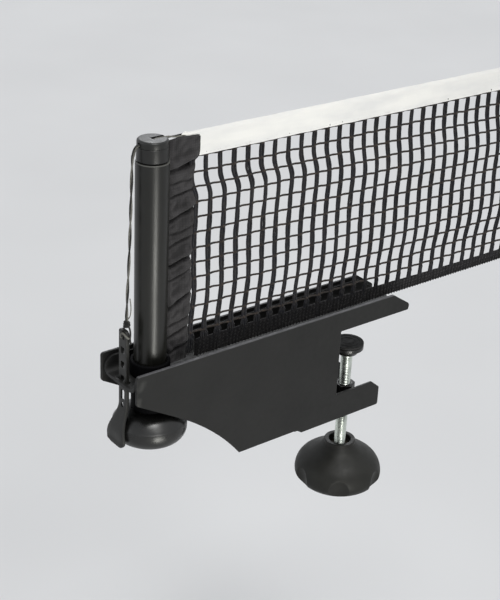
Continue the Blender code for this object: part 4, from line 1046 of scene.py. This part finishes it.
def net():
    twine = twine_look("net_twine", (0.0085, 0.009, 0.0125), (0.020, 0.018, 0.018))
    knots = twine_look("knot_twine", (0.016, 0.0135, 0.0125), (0.042, 0.031, 0.025), 0.8)
    whip = twine_look("whipping_thread", (0.0065, 0.0065, 0.0075), (0.017, 0.015, 0.014), 0.8)
    mesh = place(net_mesh(), "post", "net_twine", [twine, knots], "net_mesh")
    band = place(foot_band(), "post", "black_fabric", [knit_look(), whip], "net_bottom_hem")
    tape = place(top_tape(), "post", "white_tape", tape_look(), "net_top_tape")
    stitches = place(tape_stitches(), "post", "white_tape", thread_look())
    sleeve = place(end_sleeve(), "post", "black_fabric", fabric_look(), "net_end_sleeve")


# Cord and strap

# Cord: its route, the length of one turn of its strands, and the turn that they start with.
CORD_ROUTE = [
    (-115.4, 0, 151.2), (-118.5, 0, 151.15), (-122.9, 0, 151.25), (-128.4, 0, 151.8),
    (-136.5, 0, 151.5), (-139.5, 0, 150.4), (-146.2, 0, 150.1), (-148.2, 0, 149.9),
    (-149.6, 0, 148.7), (-150.8, 0, 145.6), (-151.6, 0, 139.6), (-152.4, 0, 110.6),
    (-153.2, 0, 85.6), (-154.6, 0, 55.6), (-154.9, 0, 46.0), (-154.8, 0, 42.8),
]
CORD_LAY = 34.0
CORD_PHASE = -1.4

# Strap: its half width above and at the tab, its ends' corners, the bar over the top hole, and
# the four holes that its hook catches.
STRAP_HALF = 4.2
TAB_HALF = 9.5
TOP_ROUND = 2.0
TAB_ROUND = 5.4
STRAP_BAR = 1.8
STRAP_HOLES = 4
HOLE_PITCH = 9.6
HOLE_WIDTH = 3.8
HOLE_HEIGHT = 4.2


def tension_cord():
    """Two thin strands laid loosely round each other, with a short tail at the knot."""
    route = curve_through(CORD_ROUTE, 12)
    lengths = [0.0]
    for a, b in zip(route, route[1:]):
        lengths.append(lengths[-1] + (b - a).length)
    shape = Shape()
    across = Vector((0, 1, 0))
    for strand in (0, 1):
        path = []
        for index, (point, length) in enumerate(zip(route, lengths)):
            ahead = route[min(index + 1, len(route) - 1)] - route[max(index - 1, 0)]
            up = ahead.normalized().cross(across)
            turn = TURN * length / CORD_LAY + math.pi * strand + CORD_PHASE
            path.append(point + 0.58 * (across * math.cos(turn) + up * math.sin(turn) * 0.7))
        shape.strand(path, 0.52, sides=8, finish=strand)
    tail = curve_through([(-154.9, -0.9, 43.6), (-153.4, -1.6, 46.5), (-153.0, -1.7, 52.0),
                          (-153.6, -1.5, 57.5)], 5)
    shape.strand(tail, 0.34, finish=1)
    return shape.piece("twin_tension_cord", sharp=80)


def knot():
    """The cord's loops, through the strap's top hole and round its edge, and its knot."""
    shape = Shape()
    middle = STRAP_FRONT + 1.1
    top = STRAP_TOP
    over_bar = curve_through([
        (middle + 2.0, -0.4, top - 4.6), (middle - 1.2, -0.3, top - 4.7),
        (middle - 1.75, -0.5, top - 3.2), (middle - 1.8, -0.8, top - 1.4),
        (middle - 1.2, -0.7, top + 0.9), (-155.2, -0.4, top + 2.6),
    ], 5)
    arch = curve_through([
        (middle + 2.0, 0.9, top - 5.4), (middle - 1.2, 1.0, top - 5.3),
        (middle - 1.8, 0.8, top - 3.5), (middle - 1.95, -0.7, top - 1.6),
        (middle - 1.9, -2.6, top - 1.5), (middle - 1.3, -4.4, top - 2.7),
        (middle + 0.2, -4.8, top - 4.2),
    ], 5)
    round_edge = curve_through([
        (-155.2, -1.0, top + 3.2), (-154.9, -3.2, top + 1.6), (-155.3, -4.75, top - 1.2),
        (-155.6, -4.85, top - 5.0), (-155.0, -4.7, top - 7.6), (-154.6, -2.6, top - 6.2),
        (middle + 2.2, -0.2, top - 4.6),
    ], 6)
    for path, radius, finish in ((over_bar, 0.55, 0), (arch, 0.60, 1), (round_edge, 0.60, 0)):
        shape.strand(path, radius, sides=8, finish=finish)
    for wrap in (0, 1):
        coil = []
        for turn in steps(0, 2.2, 0.04):
            angle = TURN * turn + math.pi * wrap
            reach = 1.75 - 0.22 * turn
            coil.append((-154.8 + reach * math.cos(angle), 1.05 * reach * math.sin(angle),
                         top + 1.1 + 0.9 * wrap + 1.35 * turn))
        shape.strand(coil, 0.62, sides=8)
    shape.ball((-154.8, 0, top + 3.2), (1.6, 1.7, 2.6))
    return shape.piece("cord_knot_turns", sharp=80)


def strap_section(z):
    """The strap's front face, thickness and half width at a height."""
    front = STRAP_FRONT + (POST_X - 25.2 - STRAP_FRONT) * ease((-12.0 - z) / 20.0)
    thickness = 2.2 - 0.5 * ease((-16.0 - z) / 8.0)
    half = STRAP_HALF + (TAB_HALF - STRAP_HALF) * ease((-14.0 - z) / 23.0)
    past_top, past_foot = z - (STRAP_TOP - TOP_ROUND), low("tension_strap").z + 6.3 - z
    for past, radius in ((past_top, TOP_ROUND), (past_foot, TAB_ROUND)):
        if past > 0:
            half -= radius - math.sqrt(max(radius ** 2 - past ** 2, 0.0))
    return front, thickness, half


def tension_strap():
    """Perforated strap flared into a pull tab, with rolled edges and a raised foot rim."""
    foot = low("tension_strap").z + 0.9
    top_end = [STRAP_TOP - TOP_ROUND * (1 - math.sin(math.radians(t)))
               for t in (88, 72, 54, 36, 18, 0)]
    foot_end = [foot + TAB_ROUND * (1 - math.sin(math.radians(t)))
                for t in (12, 24, 36, 48, 60, 70, 79, 87)]
    rows = []
    for z in top_end + steps(STRAP_TOP - 2.6, foot + 5.6, 0.9) + foot_end:
        front, thick, half = strap_section(z)
        back = front + thick
        e = min(0.38, half * 0.6)
        lift = 0.0
        if foot + 0.9 <= z < foot + 3.4:
            lift = 0.55 * ease((-18 - z) / 8) * ease((foot + 3.6 - z) / 1.6)
        face = (-half + e, -half * 0.5, 0.0, half * 0.5, half - e)
        section = [(front + e * 0.3, -half + e * 0.15)] + [(front - lift, y) for y in face] + [
            (front + e * 0.3, half - e * 0.15), (front + e, half), (back - e, half),
            (back - e * 0.3, half - e * 0.15)] + [(back, y) for y in reversed(face)] + [
            (back - e * 0.3, -half + e * 0.15), (back - e, -half), (front + e, -half)]
        rows.append([(x, y, z) for x, y in section])
    strap = lofted("perforated_strap", rows)
    first = STRAP_TOP - STRAP_BAR - HOLE_HEIGHT / 2
    holes = [strap_hole(first - HOLE_PITCH * n, HOLE_WIDTH, HOLE_HEIGHT, 0.7)
             for n in range(STRAP_HOLES)]
    lowest = first - HOLE_PITCH * (STRAP_HOLES - 1)
    holes.append(strap_hole(lowest - 11.0, HOLE_WIDTH, 6.72, 0.9))
    holes.append(strap_hole(lowest - 18.0, 3.2, 3.2, 1.55))
    holes.append(strap_hole(lowest - 13.6, 6.6, 14.6, 2.2, STRAP_FRONT + 0.7))
    return cut(strap, *holes)


def strap_hole(middle, width, height, corner, front=-168.0):
    """Cutter for a hole through the strap, or for a pocket in its back down to a depth."""
    outline = filleted([
        (-width / 2, middle - height / 2, corner), (width / 2, middle - height / 2, corner),
        (width / 2, middle + height / 2, corner), (-width / 2, middle + height / 2, corner),
    ], closed=True, step=math.radians(15))
    return channel("hole", outline, front, -150.0)


def strap():
    place(tension_strap(), "strap", "strap_plastic", STRAP_PLASTIC, "tension_strap")
    dark = twine_look("cord_black", (0.011, 0.011, 0.011), (0.055, 0.054, 0.050), 0.9)
    tan = twine_look("cord_grey_tan", (0.170, 0.167, 0.150), (0.075, 0.072, 0.062), 0.9)
    cord = place(tension_cord(), None, "net_twine", [dark, tan], "tension_cord")
    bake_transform(cord)
    place(knot(), "strap", "net_twine", [dark, tan], "cord_knot")


# Camera, light and surroundings


def camera():
    azimuth, elevation, roll = map(math.radians, (CAMERA_AZIMUTH, CAMERA_ELEVATION, CAMERA_ROLL))
    back = Vector((math.sin(azimuth) * math.cos(elevation),
                   -math.cos(azimuth) * math.cos(elevation), math.sin(elevation)))
    right = Vector((math.cos(azimuth), math.sin(azimuth), 0.0))
    up = back.cross(right)
    turned_right = right * math.cos(roll) + up * math.sin(roll)
    turned_up = up * math.cos(roll) - right * math.sin(roll)
    data = bpy.data.cameras.new("camera")
    data.lens = LENS
    data.sensor_width = SENSOR
    data.clip_end = 50.0
    made = bpy.data.objects.new("camera", data)
    axes = Matrix((turned_right, turned_up, back)).transposed()
    made.matrix_world = Matrix.Translation(CAMERA_PLACE) @ axes.to_4x4()
    bpy.context.scene.collection.objects.link(made)
    bpy.context.scene.camera = made


def lamp(name, azimuth, elevation, power, colour, distance=2.0, size=None, spread=180):
    """A soft lamp that looks at the clamp from an azimuth and elevation; a sun has no size."""
    a, e = math.radians(azimuth), math.radians(elevation)
    way = Vector((math.sin(a) * math.cos(e), -math.cos(a) * math.cos(e), math.sin(e)))
    data = bpy.data.lights.new(name, "AREA" if size else "SUN")
    if size:
        data.shape = "RECTANGLE"
        data.size, data.size_y = size
        data.spread = math.radians(spread)
    else:
        data.angle = math.radians(22)
    data.energy = power
    data.color = colour
    made = bpy.data.objects.new(name, data)
    made.location = LIT_PLACE + way * distance
    made.rotation_euler = way.to_track_quat("Z", "Y").to_euler()
    made.visible_camera = False
    bpy.context.scene.collection.objects.link(made)


def surroundings():
    """Pale floor, lamps, and a world that the camera and reflections see pale."""
    floor = Shape()
    floor.grid([[(x, y, FLOOR_Z) for y in (-FLOOR_REACH, FLOOR_REACH)]
                for x in (-FLOOR_REACH, FLOOR_REACH)])
    sheet = floor.piece("floor")
    look = Look("pale_floor", (0.70, 0.71, 0.725), 0.9, specular=0.1)
    look.set(Base_Color=look.mottled(300, 2, 0.98, 1.02))
    sheet.data.materials.append(look.material)
    world = bpy.data.worlds.new("pale_world")
    bpy.context.scene.world = world
    world.use_nodes = True
    tree = world.node_tree
    backdrop, light = tree.nodes["Background"], tree.nodes.new("ShaderNodeBackground")
    for shader, colour, strength in ((backdrop, (0.80, 0.82, 0.85, 1.0), 1.0),
                                     (light, (0.97, 0.98, 1.0, 1.0), 0.25)):
        shader.inputs["Color"].default_value = colour
        shader.inputs["Strength"].default_value = strength
    path = tree.nodes.new("ShaderNodeLightPath")
    seen = path.outputs["Is Camera Ray"]
    for ray in ("Is Glossy Ray", "Is Transmission Ray"):
        either = tree.nodes.new("ShaderNodeMath")
        either.operation = "MAXIMUM"
        tree.links.new(seen, either.inputs[0])
        tree.links.new(path.outputs[ray], either.inputs[1])
        seen = either.outputs[0]
    mix = tree.nodes.new("ShaderNodeMixShader")
    for output, socket in ((seen, mix.inputs[0]), (light.outputs[0], mix.inputs[1]),
                           (backdrop.outputs[0], mix.inputs[2]),
                           (mix.outputs[0], tree.nodes["World Output"].inputs[0])):
        tree.links.new(output, socket)
    lamp("top_sun", -6, 72, 1.76, (1.0, 0.995, 0.98))
    lamp("side_box", -10, 45, 4.2, (1.0, 0.995, 0.97), 1.6, (0.4, 0.5))
    lamp("low_box", -16, -22, 0.45, (1.0, 0.995, 0.93), 0.72, (0.22, 0.28), spread=70)
    lamp("back_sun", 141, 34, 0.70, (0.97, 0.98, 1.0))
    lamp("left_sun", -112, 20, 0.22, (0.97, 0.98, 1.0))
    bpy.context.scene.view_settings.view_transform = "Standard"


def hidden_metal():
    """Finishes of the CAD pieces that show only down a bore or in another pose."""
    brass = metal_look("turned_brass", (0.60, 0.43, 0.18), 0.32)
    dull = metal_look("dulled_brass", (0.022, 0.019, 0.014), 0.6)
    for node, look in (
        ("bearing_bush", brass), ("height_knob_insert", brass), ("post_thread_insert", brass),
        ("star_knob_insert", dull), ("height_stud", ZINC), ("net_end_rod", ZINC),
        ("pad_retaining_ring", ZINC),
    ):
        NODES[node].data.materials.clear()
        NODES[node].data.materials.append(look)


RUBBER = rubber_look()
ZINC = metal_look("zinc_plating", (0.62, 0.66, 0.60), 0.30)
KNOB_PLASTIC = plastic_look("knob_plastic", (0.0075, 0.0075, 0.0070), 0.30, 0.45)
STAR_PLASTIC = plastic_look("grained_knob_plastic", (0.0120, 0.0120, 0.0104), 0.52, 0.22)
CAP_PLASTIC = plastic_look("cap_plastic", (0.009, 0.009, 0.0085), 0.36, 0.40, grain=0.4)
# Near black and dull: painted shade at the post's foot, darker than the other black plastics.
SHADE_DARKENED_GUIDE_PLASTIC = plastic_look("guide_plastic_painted_shade", (0.002, 0.002, 0.0024), 0.70, 0.05)
STRAP_PLASTIC = plastic_look("strap_plastic", (0.015, 0.015, 0.0138), 0.42, 0.32, grain=0.45)

camera()
surroundings()
bracket()
post()
place(height_knob(), "height_knob", "black_plastic", KNOB_PLASTIC, "height_knob")
clamp_screw()
net()
strap()
hidden_metal()
